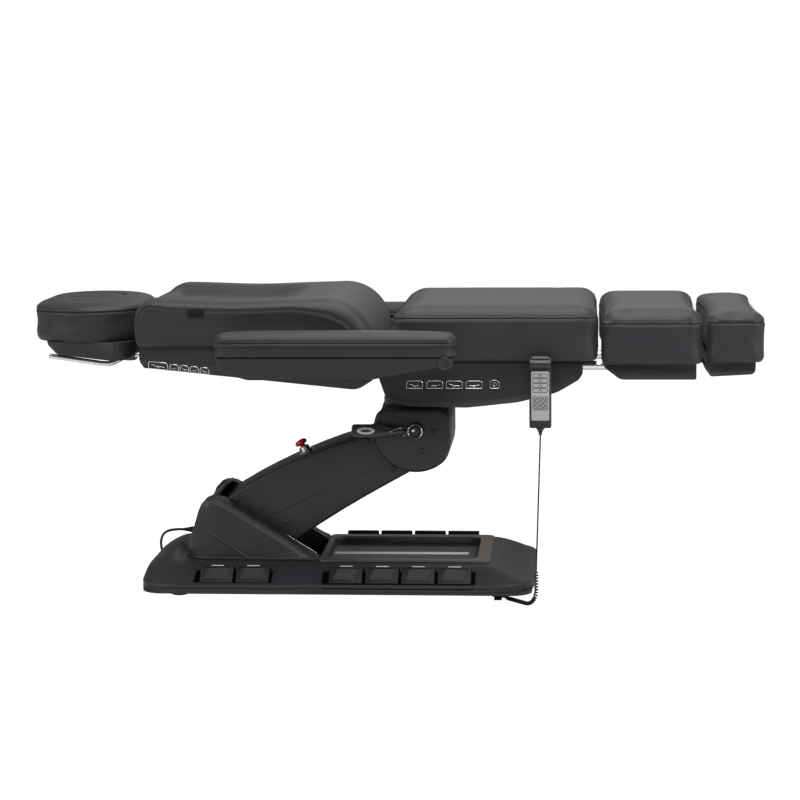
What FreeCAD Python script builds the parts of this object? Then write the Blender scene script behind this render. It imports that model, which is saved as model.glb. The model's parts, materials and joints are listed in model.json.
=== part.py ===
import FreeCAD, Part
import math
import os

os.makedirs("parts", exist_ok=True)

# Clearances and walls
run_gap = 0.05
seat_gap = 0.3
hand_gap = 2.0
wall = 4.0
thin_wall = 3.0

# Base: cover, frame, feet
base_left = -662.0
base_right = 370.0
base_half_width = 300.0
base_corner = 60.0
rim_bottom = 27.0
rim_top = 52.0
deck_z = 92.0
deck_half_width = 200.0
deck_right = 262.0
hump_z = 124.0
hump_right = -566.0
hump_half_width = 220.0
floor_plate = 6.0
foot_radius = 24.0
foot_inset_x = 90.0
foot_inset_y = 125.0

# Deck tray
tray_left = -187.0
tray_half_width = 150.0
tray_depth = 18.0
tray_flange = 34.0
tray_end_flange = 14.0
tray_sheet = 3.0

# Foot pedals
pedal_width = 86.0
pedal_pitch = 94.5
pedal_first_group = -458.0
pedal_second_group = -119.0
pedal_thickness = 7.0
pedal_arm = 9.0
pedal_crest = 43.0
pedal_toe_z = 57.0
pedal_margin = 14.0
pedal_rib = 1.6
pedal_rod_radius = 3.0
pedal_barrel = 7.0
pedal_axis_in = 14.0
pedal_axis_drop = 18.0

# Lift arm and its pivots
arm_foot_x = -428.0
arm_foot_z = 150.0
arm_length = 561.0
arm_angle = 30.3
arm_half_width = 105.0
arm_foot_depth = 95.0
arm_head_bottom = 88.0
arm_head_cut = 75.0
arm_bevel = 5.0
arm_boss = 12.0
arm_plate_y = 60.0
arm_plate = 8.0
arm_eye = 40.0
shaft_radius = 15.0
link_offset = 50.0
link_offset_angle = -70.0
link_half_width = 10.0
link_eye = 12.0
link_pin = 6.0
bracket_y = 115.0
bracket = 12.0
bracket_eye = 32.0
screw_head = 8.0
screw_rise = 4.0
screw_shank = 3.0

# Bowed top of the arm's cover, as shares of its length and of the foot's depth
arm_top_line = [(0.0, 1.0), (0.214, 1.042), (0.424, 0.979), (0.629, 0.853), (0.825, 0.653), (1.0, 0.495)]

# Emergency stop, placed along the arm
stop_along = 259.0
stop_collar_radius = 20.0
stop_collar_height = 18.0
stop_head_radius = 16.0
stop_head_height = 14.0
stop_travel = 5.0
stop_stem = 8.0

# Column cover
column_half_width = 170.0
column_corner = 75.0
hood_half_width = 125.0
column_back = -561.0
column_depth = 358.0
column_height = 166.7

# Column side lines, as shares of its depth and height
column_cheek = [(0.0, 0.0), (0.0223, 0.3461), (0.0447, 0.4781), (0.0810, 0.6221), (0.1257, 0.8140),
                (0.2011, 0.9580), (0.2374, 1.0), (0.3101, 0.9220), (1.0, 0.0180), (1.0, 0.0)]
column_hood = [(0.0112, 0.0), (0.1257, 0.8140), (0.2095, 1.0), (0.3184, 1.1800), (0.3380, 1.0660),
               (0.3380, 0.0)]
cheek_hollow = [(0.0, -0.006), (0.0223, 0.3461), (0.0447, 0.4661), (0.0810, 0.6101), (0.1257, 0.7960),
                (0.1927, 0.9280), (0.2263, 0.9640), (0.2989, 1.0180), (1.0, 0.0840), (1.0, -0.006)]
hood_hollow = [(0.0112, -0.006), (0.1257, 0.7960), (0.2067, 0.9760), (0.3045, 1.1380), (0.3520, 1.2460),
               (0.3520, -0.006)]

# Arm head, in the frame of the bed that stands on it
head_axis_x = 56.37
head_axis_z = 433.04

# Head housing and lever
housing_half_width = 130.0
housing_cheek = 21.5
housing_radius = 112.0
housing_left = -55.0
housing_right = 150.0
housing_bottom = 321.0
housing_top = 494.0
housing_roof = 8.0
housing_crown = 122.0
housing_crown_drop = 24.0
housing_crown_flare = 68.0
link_lug = 8.0
link_lug_radius = 10.0
lever_reach = 167.0
lever_hub = 22.0
lever_thickness = 16.0
lever_pin = 10.0
lever_pin_reach = 11.0
lever_strap = 12.0
lever_neck = 7.0
lever_grip = 18.0
lever_grip_length = 64.0
lever_grip_corner = 9.0
lever_rise = 2.0

# Turntable and tilt
spigot_radius = 30.0
turntable_radius = 92.0
turntable_plate = 14.0
ear_y = 72.0
ear = 12.0
ear_eye = 17.0
tilt_x = 108.0
tilt_z = 612.0
tilt_shaft_radius = 10.0

# Gear motors under the seat
motor_inner = 20.0
motor_outer = 66.0
motor_case_drop = 22.0
leg_case_back = 26.0
leg_case_front = 10.0
leg_case_eye = 16.0
leg_motor_radius = 18.0
leg_motor_length = 94.0
leg_motor_drop = 2.0
back_case_back = 18.0
back_case_front = 24.0
back_motor_radius = 14.0
back_motor_length = 50.0
back_motor_drop = 4.0

# Bed: common widths
cushion_half_width = 310.0
seat_shell_half_width = 285.0
back_shell_half_width = 290.0
board = 7.0
rail_y = 140.0
rail_width = 20.0

# Seat
seat_bottom = 638.0
seat_side = 110.0
seat_dome = 30.0
seat_right = 530.0
seat_corner = 40.0
seat_shell_right = 496.0
seat_shell_left = -28.0
seat_shell_low = 515.0
seat_shell_neck_in = 3.0
seat_shell_neck = 75.0
seat_shell_heel_in = 28.0
seat_shell_heel = 15.0
seat_shell_keel_in = 153.0
seat_shell_toe_in = 33.0
seat_shell_toe = 59.0
seat_shell_end = 90.0
seat_cross_x = 12.0
seat_cross_z = 618.0
seat_cross_radius = 11.0

# Back and its hinge
back_hinge_x = -160.0
back_hinge_z = 674.0
nose_radius = 125.0
back_left = -660.0
back_side = 100.0
back_bolster = 22.0
back_dish = 24.0
back_shell_left = -645.0
back_shell_head = 623.0
back_shell_low = 561.0
back_shell_low_in = 47.0
back_shell_nose = 589.0
back_shell_nose_out = 5.0
back_shell_neck = 640.0
back_shell_neck_in = 3.0
back_shell_top_in = 25.0
hinge_pin = 10.0
hinge_eye = 17.0
hinge_arm = 4.0
hinge_plate = 8.0

# Armrests and their levelling links
arm_rod_x = -360.0
arm_rod_z = 645.0
arm_rod_radius = 8.0
arm_link_dx = 40.0
arm_link_dz = -28.0
arm_link = 6.0
arm_link_pin = 5.0
arm_link_eye = 12.0
armrest_inner = 345.0
armrest_outer = 445.0
armrest_left = -430.0
armrest_right = 178.0
armrest_low = 606.0
armrest_split = 661.0
armrest_side = 38.0
armrest_dome = 23.0
armrest_cap = 17.0

# Headrest
head_left = -957.0
head_right = -668.0
head_half_width = 220.0
head_bottom = 677.0
head_side = 79.0
head_dome = 29.0
head_corner = 140.0
head_pan = 27.0
head_keel = 22.0
head_keel_half_width = 120.0
head_rail_y = 150.0
head_rail_radius = 8.0
head_rail_right = -420.0
head_sleeve = 12.0
plug_length = 150.0
plug_width = 84.0
knob_x = -725.0
knob_radius = 21.0
knob_height = 22.0

# Legs
leg_pivot_x = 457.0
leg_pivot_z = 606.0
leg_tube_y = 120.0
leg_tube_radius = 12.0
leg_tube_right = 775.0
leg_left = 540.0
leg_right = 802.0
leg_bottom = 630.0
leg_side = 103.0
leg_dome = 35.0
leg_corner = 38.0
leg_shell_left = 550.0
leg_shell_right = 785.0
leg_shell_low = 588.0
leg_sleeve = 4.0
leg_sleeve_length = 95.0
foot_left = 807.0
foot_right = 957.0
foot_bottom = 635.0
foot_side = 101.0
foot_dome = 26.0
foot_shell_left = 804.0
foot_shell_right = 933.0
foot_shell_low = 596.0
foot_hinge_x = 796.0
foot_hinge_z = 620.0
foot_pin = 5.0
foot_barrel = 7.0

# Handset and cords
handset_x = 389.0
handset_width = 56.0
handset_low = 474.0
handset_height = 183.0
handset_back = 335.0
handset_thickness = 25.0
handset_relief = 19.0
handset_corner = 8.0
cord_diameter = 4.0
curl_diameter = 12.0
curl_pitch = 7.5
mains_diameter = 7.0
gland_y = 30.0
gland_z = 135.0
gland_length = 34.0
gland_radius = 10.0
coil_pitch = 8.9
coil_inner = 30.0
coil_turns = 2
coil_layers = 4
coil_tail = 56.0


# Solids
def vec(x, y, z):
    return FreeCAD.Vector(x, y, z)


def block(x0, x1, y0, y1, z0, z1):
    return Part.makeBox(x1 - x0, y1 - y0, z1 - z0, vec(x0, y0, z0))


def rod(start, end, radius):
    first = vec(*start)
    run = vec(*end) - first
    return Part.makeCylinder(radius, run.Length, first, run)


def cross_rod(x, z, y0, y1, radius):
    return rod((x, y0, z), (x, y1, z), radius)


def prism(outline, y0, y1):
    """Side outline of (x, z) points, carried across the width."""
    points = [vec(x, y0, z) for x, z in outline]
    return Part.Face(Part.makePolygon(points + points[:1])).extrude(vec(0, y1 - y0, 0))


def beam(outline, x0, x1):
    """Cross section of (y, z) points, carried along the length."""
    points = [vec(x0, y, z) for y, z in outline]
    return Part.Face(Part.makePolygon(points + points[:1])).extrude(vec(x1 - x0, 0, 0))


def strap(x0, z0, x1, z1, radius, y0, y1):
    """Flat bar with round ends on two centres."""
    length = math.hypot(x1 - x0, z1 - z0)
    bar = block(0, length, y0, y1, -radius, radius)
    bar = bar.fuse([cross_rod(0, 0, y0, y1, radius), cross_rod(length, 0, y0, y1, radius)])
    bar.rotate(vec(0, 0, 0), vec(0, 1, 0), -math.degrees(math.atan2(z1 - z0, x1 - x0)))
    bar.translate(vec(x0, 0, z0))
    return bar


def mirrored(shape):
    return shape.mirror(vec(0, 0, 0), vec(0, 1, 0))


def pair(shape):
    return [shape, mirrored(shape)]


def joined(shapes):
    return shapes[0].fuse(shapes[1:]).removeSplitter()


def rounded_wire(x0, x1, y0, y1, z, corner, pull=0.0):
    """Level outline with round corners, its sides drawn in by pull between them."""
    k = corner * (1 - math.sqrt(0.5))
    starts = [(x0 + corner, y0), (x1, y0 + corner), (x1 - corner, y1), (x0, y1 - corner)]
    ends = [(x1 - corner, y0), (x1, y1 - corner), (x0 + corner, y1), (x0, y0 + corner)]
    middles = [(x1 - k, y0 + k), (x1 - k, y1 - k), (x0 + k, y1 - k), (x0 + k, y0 + k)]
    drawn = [(0, pull), (-pull, 0), (0, -pull), (pull, 0)]
    edges = []
    for i in range(4):
        start = vec(*starts[i], z)
        end = vec(*ends[i], z)
        middle = (start + end) * 0.5 + vec(*drawn[i], 0)
        side = Part.Arc(start, middle, end) if pull else Part.LineSegment(start, end)
        edges.append(side.toShape())
        edges.append(Part.Arc(end, vec(*middles[i], z), vec(*starts[(i + 1) % 4], z)).toShape())
    return Part.Wire(edges)


def rounded_slab(x0, x1, y0, y1, z0, z1, corner):
    return Part.Face(rounded_wire(x0, x1, y0, y1, z0, corner)).extrude(vec(0, 0, z1 - z0))


def pad(x0, x1, y0, y1, bottom, side, rise, corner, lean=None, dome=1.0, tuck=1.0):
    """Crowned cushion: drawn-in sides up to the seam, then a domed top.

    lean gives the extra shift of the head end at each height, dome how far the top draws in
    and tuck how far the sides do."""
    seam = bottom + side
    levels = [(bottom, 8.0 * tuck), (bottom + 0.14 * side, 1.0 * tuck), (bottom + 0.55 * side, 3.0 * tuck),
              (seam, 0.0), (seam + 0.5 * rise, 7.0 * dome), (seam + 0.82 * rise, 22.0 * dome),
              (seam + rise, 45.0 * dome)]
    wires = []
    for z, inset in levels:
        shift = lean(z) if lean else 0.0
        inner = max(corner - inset, corner / 4)
        left = x0 + shift + inset
        wires.append(rounded_wire(left, x1 - inset, y0 + inset, y1 - inset, z, inner, 3.0 * tuck))
    return Part.makeLoft(wires, True, True)


def save(name, solids):
    shape = solids[0] if len(solids) == 1 else Part.makeCompound(solids)
    shape.exportStep(os.path.join("parts", name + ".step"))
    print(name, len(shape.Solids), "valid" if shape.isValid() else "not valid")


# Cord routes
def arc_edge(start, corner, end):
    """Arc from start to end whose tangents meet at corner."""
    middle = (start + end) * 0.5
    half = (end - start).Length / 2
    lean = math.acos(min(1.0, half / (corner - start).Length))
    crest = middle + (corner - middle) * (math.tan(lean / 2) / math.tan(lean))
    return Part.Arc(start, crest, end).toShape()


def lead(name, route, diameter):
    """Round cord on straight runs and the largest tangent arcs that its points allow."""
    points = [vec(*p) for p in route]
    edges = []
    radii = []
    here = points[0]
    for before, corner, after in zip(points, points[1:], points[2:]):
        into = corner - before
        out = after - corner
        trim = 0.45 * min(into.Length, out.Length)
        radii.append(trim / math.tan(into.getAngle(out) / 2))
        start = corner - FreeCAD.Vector(into).normalize() * trim
        end = corner + FreeCAD.Vector(out).normalize() * trim
        edges.append(Part.LineSegment(here, start).toShape())
        edges.append(arc_edge(start, corner, end))
        here = end
    edges.append(Part.LineSegment(here, points[-1]).toShape())
    print(name, "bend radii", [round(r, 1) for r in radii])
    return tube(name, edges, points[1] - points[0], diameter)


def tube(name, edges, heading, diameter):
    path = Part.Wire(edges)
    start = edges[0].valueAt(edges[0].FirstParameter)
    ring = Part.Wire([Part.Circle(start, heading, diameter / 2).toShape()])
    solid = path.makePipeShell([ring], True, False)
    expected = math.pi * diameter ** 2 / 4 * path.Length
    print(name, "length", round(path.Length, 1), "volume share", round(solid.Volume / expected, 4))
    return solid


def winding(name, spots, diameter):
    """Tube through spots on tangent pairs of arcs, with its least gap to itself printed."""
    points = [vec(*p) for p in spots]
    headings = []
    for i in range(len(points)):
        ahead = points[min(i + 1, len(points) - 1)]
        behind = points[max(i - 1, 0)]
        headings.append((ahead - behind).normalize())
    headings[0] = (points[1] - points[0]).normalize()
    headings[1] = FreeCAD.Vector(headings[0])
    headings[-1] = (points[-1] - points[-2]).normalize()
    headings[-2] = FreeCAD.Vector(headings[-1])
    edges = [Part.LineSegment(points[0], points[1]).toShape()]
    for i in range(1, len(points) - 2):
        span = points[i + 1] - points[i]
        total = headings[i] + headings[i + 1]
        bend = 2 * (1 - headings[i].dot(headings[i + 1]))
        if bend < 1e-9:
            edges.append(Part.LineSegment(points[i], points[i + 1]).toShape())
            continue
        reach = span.dot(total)
        step = (math.sqrt(reach ** 2 + bend * span.dot(span)) - reach) / bend
        first = points[i] + headings[i] * step
        second = points[i + 1] - headings[i + 1] * step
        middle = (first + second) * 0.5
        edges.append(arc_edge(points[i], first, middle))
        edges.append(arc_edge(middle, second, points[i + 1]))
    edges.append(Part.LineSegment(points[-2], points[-1]).toShape())
    fine = [edge.valueAt(edge.FirstParameter + (edge.LastParameter - edge.FirstParameter) * k / 4)
            for edge in edges for k in range(4)]
    spread = 20
    gap = min((fine[i] - fine[j]).Length for i in range(len(fine)) for j in range(i + spread, len(fine)))
    print(name, "least gap to itself", round(gap - diameter, 2))
    return tube(name, edges, headings[0], diameter)


# Base cover, frame, feet and tray
def base_form(inset, low):
    left = base_left + inset
    right = base_right - inset
    half = base_half_width - inset
    rim = rim_top - inset
    deck = deck_z - inset
    hump = hump_z - inset
    deck_side = [(left, low), (left, rim), (left + 30, deck), (deck_right, deck), (right - 16, rim),
                 (right, rim), (right, low)]
    hump_side = [(left, low), (left, rim), (left + 38, hump), (hump_right - 10 - inset, hump),
                 (hump_right - inset, deck), (hump_right - inset, low)]
    deck_beam = [(-half, low), (-half, rim), (-deck_half_width, deck), (deck_half_width, deck),
                 (half, rim), (half, low)]
    hump_beam = [(-half, low), (-half, rim), (-hump_half_width, hump), (hump_half_width, hump),
                 (half, rim), (half, low)]
    body = joined([prism(deck_side, -half, half).common(beam(deck_beam, left, right)),
                   prism(hump_side, -half, half).common(beam(hump_beam, left, right))])
    return body.common(rounded_slab(left, right, -half, half, low, hump, base_corner - inset))


pedal_centres = [pedal_first_group, pedal_first_group + pedal_pitch]
pedal_centres += [pedal_second_group + i * pedal_pitch for i in range(4)]
pedal_inner = deck_half_width + pedal_crest
pedal_outer = base_half_width - pedal_margin
pedal_slope = (deck_z - rim_top) / (base_half_width - deck_half_width)
pedal_axis_y = deck_half_width + pedal_axis_in
pedal_axis_z = deck_z - pedal_axis_drop
plate_top = rim_bottom + floor_plate
arm_well = arm_half_width + 7
tray_right = deck_right - tray_flange - 8


def flank_z(y):
    """Height of the sloping flank at a distance from the middle."""
    return deck_z - (y - deck_half_width) * pedal_slope


def base_cover():
    cover = base_form(0, rim_bottom).cut(base_form(wall, rim_bottom - 1))
    cover = cover.cut(block(tray_left, tray_right, -tray_half_width, tray_half_width, rim_top, hump_z))
    cover = cover.cut(block(hump_right + 30, tray_left - 6, -arm_well, arm_well, rim_top, hump_z))
    bracket_reach = bracket_y + bracket + 40
    cover = cover.cut(block(arm_foot_x - 84, arm_foot_x + 90, -bracket_reach, bracket_reach,
                            rim_top, hump_z))
    for x in pedal_centres:
        half = pedal_width / 2 + hand_gap
        slot = block(x - half, x + half, pedal_inner - 5, pedal_outer + 4, rim_top - 8, hump_z)
        cover = cover.cut(pair(slot))
    return cover


def base_frame(link_pin_x, link_pin_z):
    inset = wall + seat_gap
    inner = base_half_width - inset
    plate = rounded_slab(base_left + inset, base_right - inset, -inner, inner,
                         rim_bottom, plate_top, base_corner - inset)
    pieces = [plate]
    eye = [(arm_foot_x - 80, plate_top), (arm_foot_x + 80, plate_top),
           (arm_foot_x + bracket_eye, arm_foot_z), (arm_foot_x - bracket_eye, arm_foot_z)]
    column = prism(eye, bracket_y, bracket_y + bracket)
    column = column.fuse(cross_rod(arm_foot_x, arm_foot_z, bracket_y, bracket_y + bracket, bracket_eye))
    bore = cross_rod(arm_foot_x, arm_foot_z, 0, bracket_y + bracket + 1, shaft_radius + run_gap)
    pieces += pair(column.cut(bore))
    lug_y = link_eye + 2
    lug_end = lug_y + link_lug
    reach = link_lug_radius
    lug = prism([(link_pin_x - 2 * reach, plate_top), (link_pin_x + 2 * reach, plate_top),
                 (link_pin_x + reach, link_pin_z), (link_pin_x - reach, link_pin_z)], lug_y, lug_end)
    pieces += pair(lug.fuse(cross_rod(link_pin_x, link_pin_z, lug_y, lug_end, reach)))
    pieces.append(cross_rod(link_pin_x, link_pin_z, -lug_end, lug_end, link_pin))
    for group in (pedal_centres[:2], pedal_centres[2:]):
        edge = pedal_pitch / 2
        first = group[0] - edge
        last = group[-1] + edge
        pieces += pair(rod((first - 2, pedal_axis_y, pedal_axis_z), (last + 2, pedal_axis_y, pedal_axis_z),
                           pedal_rod_radius))
        for x in [first] + [centre + edge for centre in group]:
            post = block(x - 2, x + 2, pedal_axis_y - 9, pedal_axis_y + 7, plate_top, pedal_axis_z + 4)
            pieces += pair(post)
    return joined(pieces)


def floor_feet():
    feet = []
    for x in (base_left + foot_inset_x, base_right - foot_inset_x):
        for y in (-base_half_width + foot_inset_y, base_half_width - foot_inset_y):
            cup = Part.makeCone(foot_radius, foot_radius - 5, rim_bottom, vec(x, y, 0))
            feet.append(cup)
    return feet


def deck_tray():
    reach = tray_half_width - seat_gap
    left = tray_left + seat_gap
    right = tray_right - seat_gap
    floor_z = deck_z - tray_depth
    flange = block(left - tray_end_flange, right + tray_flange, -reach - tray_flange, reach + tray_flange,
                   deck_z, deck_z + tray_sheet)
    bowl = block(left, right, -reach, reach, floor_z - tray_sheet, deck_z)
    hollow = block(left + tray_sheet, right - tray_sheet, -reach + tray_sheet, reach - tray_sheet,
                   floor_z, deck_z + tray_sheet + 1)
    return flange.fuse(bowl).cut(hollow).removeSplitter()


def pedal(x, side):
    """Ribbed wedge that stands out of the flank, on an arm to the rod under the cover."""
    x0 = x - pedal_width / 2
    x1 = x + pedal_width / 2
    root = pedal_inner - 2
    root_z = flank_z(root) - wall - 1.5
    wedge = beam([(pedal_axis_y, pedal_axis_z + pedal_barrel - 1), (root, root_z), (pedal_inner, deck_z),
                  (pedal_outer, pedal_toe_z), (pedal_outer, pedal_toe_z - pedal_thickness),
                  (root, root_z - pedal_arm), (pedal_axis_y, pedal_axis_z - pedal_barrel)], x0, x1)
    pieces = [wedge]
    ribs = 6
    for i in range(ribs):
        share = (i + 1) / (ribs + 1)
        y = pedal_inner + (pedal_outer - pedal_inner) * share
        z = deck_z + (pedal_toe_z - deck_z) * share
        pieces.append(rod((x0 + 5, y, z), (x1 - 5, y, z), pedal_rib))
    start = (x0, pedal_axis_y, pedal_axis_z)
    end = (x1, pedal_axis_y, pedal_axis_z)
    pieces.append(rod(start, end, pedal_barrel))
    lever = joined(pieces).cut(rod(start, end, pedal_rod_radius + run_gap))
    return lever if side > 0 else mirrored(lever)


# Column cover round the foot of the arm
column_base = deck_z + seat_gap


def column_line(shares, inset=0.0):
    return [(column_back + inset + x * column_depth, column_base + z * column_height) for x, z in shares]


def column_plan(inset, low):
    half = column_half_width - inset
    right = column_back + column_depth + 2 * column_corner
    return rounded_slab(column_back + inset, right, -half, half, low, column_base + 1.3 * column_height,
                        column_corner - inset)


def column_cover():
    half = column_half_width
    hood = hood_half_width
    outer = joined([prism(column_line(column_cheek), -half, half),
                    prism(column_line(column_hood), -hood, hood)])
    inner = joined([prism(column_line(cheek_hollow, wall), -half + wall, half - wall),
                    prism(column_line(hood_hollow, wall), -hood + wall, hood - wall)])
    gland_hole = rod((column_back - 1, gland_y, gland_z), (column_back + gland_length, gland_y, gland_z),
                     gland_radius + seat_gap)
    outer = outer.common(column_plan(0.0, column_base))
    return outer.cut([inner.common(column_plan(wall, column_base - 1)), gland_hole])


def lift_motor():
    """Flat gearbox on the end of the lift shaft, with its motor lying forward."""
    y0 = bracket_y + bracket
    gearbox = cross_rod(arm_foot_x, arm_foot_z, y0, y0 + 32, 44)
    motor = rod((arm_foot_x, y0 + 17, arm_foot_z - 28), (arm_foot_x + 104, y0 + 17, arm_foot_z - 28), 15)
    bore = cross_rod(arm_foot_x, arm_foot_z, y0 - 1, y0 + 33, shaft_radius + run_gap)
    return joined([gearbox, motor]).cut(bore)


# Lift arm, built along its own length and then set at its rest angle
def on_arm(shape):
    placed = shape.copy()
    placed.rotate(vec(0, 0, 0), vec(0, 1, 0), -arm_angle)
    placed.translate(vec(arm_foot_x, 0, arm_foot_z))
    return placed


arm_head_x = arm_foot_x + arm_length * math.cos(math.radians(arm_angle))
arm_head_z = arm_foot_z + arm_length * math.sin(math.radians(arm_angle))
link_dx = link_offset * math.cos(math.radians(link_offset_angle))
link_dz = link_offset * math.sin(math.radians(link_offset_angle))
arm_cover_end = arm_length - arm_head_cut
head_shift_x = arm_head_x - head_axis_x
head_shift_z = arm_head_z - head_axis_z
arm_screw_spots = [(49, 79), (134, -39), (arm_length - 130, 45), (arm_length - 104, -60)]
arm_boss_spots = [arm_eye + 110, arm_cover_end - 60]


def arm_top(along):
    """Height of the cover's top above the arm's axis."""
    share = along / arm_cover_end
    for (x0, z0), (x1, z1) in zip(arm_top_line, arm_top_line[1:]):
        if share <= x1:
            return arm_foot_depth * (z0 + (z1 - z0) * (share - x0) / (x1 - x0))


def lift_arm():
    plate = strap(0, 0, arm_length, 0, arm_eye, arm_plate_y, arm_plate_y + arm_plate)
    plates = pair(plate.cut(cross_rod(arm_length, 0, arm_plate_y - 1, arm_plate_y + arm_plate + 1,
                                      shaft_radius + run_gap)))
    web = block(arm_eye + 30, arm_length - 120, -arm_plate_y, arm_plate_y, arm_eye - 12, arm_eye - 4)
    shaft = cross_rod(0, 0, -bracket_y - bracket, bracket_y + bracket + 30, shaft_radius)
    return on_arm(joined(plates + [web, shaft]))


def arm_form(half, inset, past):
    """Box of the arm's cover with a bowed top, and its round foot."""
    depth = arm_foot_depth - inset
    end = arm_cover_end + past
    top = [(x * end, z * arm_foot_depth - inset) for x, z in arm_top_line]
    box = prism(top + [(end, -arm_head_bottom + inset), (0, -depth)], -half, half)
    return box, cross_rod(0, 0, -half, half, depth)


def bevelled(shape, size):
    edges = [e for e in shape.Edges if e.BoundBox.YLength < 0.01 and e.BoundBox.XLength > size]
    return shape.makeChamfer(size, edges)


def arm_cover():
    box, foot = arm_form(arm_half_width, 0, 0)
    outer = joined([bevelled(box, arm_bevel), bevelled(foot, arm_bevel)])
    inner_box, inner_foot = arm_form(arm_half_width - wall, arm_bevel, 1)
    cover = outer.cut([inner_box, inner_foot])
    cover = cover.cut(block(-arm_foot_depth - 1, 40, -arm_half_width + wall, arm_half_width - wall,
                            -arm_foot_depth - 1, -20))
    through = arm_half_width + 1
    cover = cover.cut(cross_rod(0, 0, -through, through, shaft_radius + 0.5))
    bosses = []
    for along in arm_boss_spots:
        boss = cross_rod(along, 0, arm_plate_y + arm_plate + seat_gap, arm_half_width - 1, arm_boss)
        bosses += pair(boss)
    cover = joined([cover] + bosses)
    for along, up in arm_screw_spots:
        cover = cover.cut(cross_rod(along, up, -through, through, screw_shank + run_gap))
    hole = rod((stop_along, 0, 0), (stop_along, 0, arm_foot_depth + 1), stop_stem + 1)
    return on_arm(cover.cut(hole))


def button_screw(x, z, y):
    """Domed screw head on a face at y, with its shank inward."""
    head = Part.makeCone(screw_head, screw_head - 3, screw_rise, vec(x, -y, z), vec(0, -1, 0))
    shank = cross_rod(x, z, -y, -y + wall + 2, screw_shank)
    return pair(head.fuse(shank).removeSplitter())


def arm_screws():
    heads = []
    for along, up in arm_screw_spots:
        heads += [on_arm(s) for s in button_screw(along, up, arm_half_width)]
    return heads


stop_base = arm_top(stop_along)
stop_face = stop_base + stop_collar_height


def stop_collar():
    collar = Part.makeCone(stop_collar_radius, stop_collar_radius - 3, stop_collar_height + 6,
                           vec(stop_along, 0, stop_base - 6))
    collar = collar.cut(rod((stop_along, 0, 0), (stop_along, 0, stop_face + 1), stop_stem + run_gap))
    return on_arm(collar.cut(arm_form(arm_half_width, 0, 0)[0]))


def stop_button():
    under = stop_face + stop_travel + 1
    head = Part.makeCone(stop_head_radius - 3, stop_head_radius, 4, vec(stop_along, 0, under))
    dome = Part.makeCone(stop_head_radius, stop_head_radius - 5, stop_head_height - 4,
                         vec(stop_along, 0, under + 4))
    stem = rod((stop_along, 0, stop_base - 12), (stop_along, 0, under + 1), stop_stem)
    return on_arm(joined([head, dome, stem]))


def levelling_link():
    x0 = arm_foot_x + link_dx
    z0 = arm_foot_z + link_dz
    x1 = arm_head_x + link_dx
    z1 = arm_head_z + link_dz
    bar = strap(x0, z0, x1, z1, link_eye, -link_half_width, link_half_width)
    return bar.cut([cross_rod(x, z, -20, 20, link_pin + run_gap) for x, z in ((x0, z0), (x1, z1))])


# Head housing, lever and turntable, like the bed drawn in their own frame
def on_head(shape):
    """Piece of the head or the bed, set on the head of the arm."""
    placed = shape.copy()
    placed.translate(vec(head_shift_x, 0, head_shift_z))
    return placed


housing_screw_spots = [(51, -2), (18, -53)]


def head_housing():
    body = cross_rod(head_axis_x, head_axis_z, -housing_half_width, housing_half_width, housing_radius)
    shoulder = housing_top - housing_crown_drop
    body = body.common(block(housing_left, housing_right, -housing_half_width, housing_half_width,
                             housing_bottom, housing_top))
    flare = housing_crown + housing_crown_flare
    crown = Part.makeCone(flare, housing_crown, housing_crown_drop, vec(head_axis_x, 0, shoulder))
    body = body.common(crown.fuse(rod((head_axis_x, 0, housing_bottom), (head_axis_x, 0, shoulder), flare)))
    inside = housing_half_width - housing_cheek
    body = body.cut(block(housing_left - 1, housing_right - housing_roof, -inside, inside,
                          housing_bottom - 1, housing_top - housing_roof))
    pin_x = head_axis_x + link_dx
    pin_z = head_axis_z + link_dz
    lug_y = link_eye + 2
    lug_end = lug_y + link_lug
    lug = block(pin_x, housing_right - housing_roof / 2, lug_y, lug_end, pin_z - link_lug_radius,
                pin_z + link_lug_radius)
    lug = lug.fuse(cross_rod(pin_x, pin_z, lug_y, lug_end, link_lug_radius))
    half = housing_half_width
    pieces = [body, cross_rod(head_axis_x, head_axis_z, -half, half, shaft_radius),
              cross_rod(pin_x, pin_z, -lug_end, lug_end, link_pin)] + pair(lug)
    pieces.append(cross_rod(head_axis_x, head_axis_z, -half - lever_pin_reach, -half, lever_pin))
    pieces.append(rod((head_axis_x, 0, housing_top - 2),
                      (head_axis_x, 0, housing_top + turntable_plate + seat_gap), spigot_radius))
    housing = joined(pieces)
    bore = screw_shank + run_gap
    return housing.cut([cross_rod(head_axis_x + dx, head_axis_z + dz, -half - 1, half + 1, bore)
                        for dx, dz in housing_screw_spots])


def housing_screws():
    heads = []
    for dx, dz in housing_screw_spots:
        heads += button_screw(head_axis_x + dx, head_axis_z + dz, housing_half_width)
    return heads


def swivel_lever():
    near = -housing_half_width - seat_gap
    far = near - lever_thickness
    hub = cross_rod(head_axis_x, head_axis_z, far, near, lever_hub)
    side = [(0, lever_neck), (lever_reach - lever_grip_length, lever_grip),
            (lever_reach - lever_grip_corner, lever_grip), (lever_reach, lever_grip - lever_grip_corner)]
    middle = head_axis_z + lever_rise
    outline = [(head_axis_x - x, middle + z) for x, z in side]
    outline += [(head_axis_x - x, middle - z) for x, z in reversed(side)]
    handle = prism(outline, far - lever_strap * 2 / 3, far + lever_strap / 3)
    bore = cross_rod(head_axis_x, head_axis_z, far + lever_strap / 3, near + 1, lever_pin + run_gap)
    return joined([hub, handle]).cut(bore)


turntable_low = housing_top + seat_gap
turntable_top = turntable_low + turntable_plate


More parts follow.
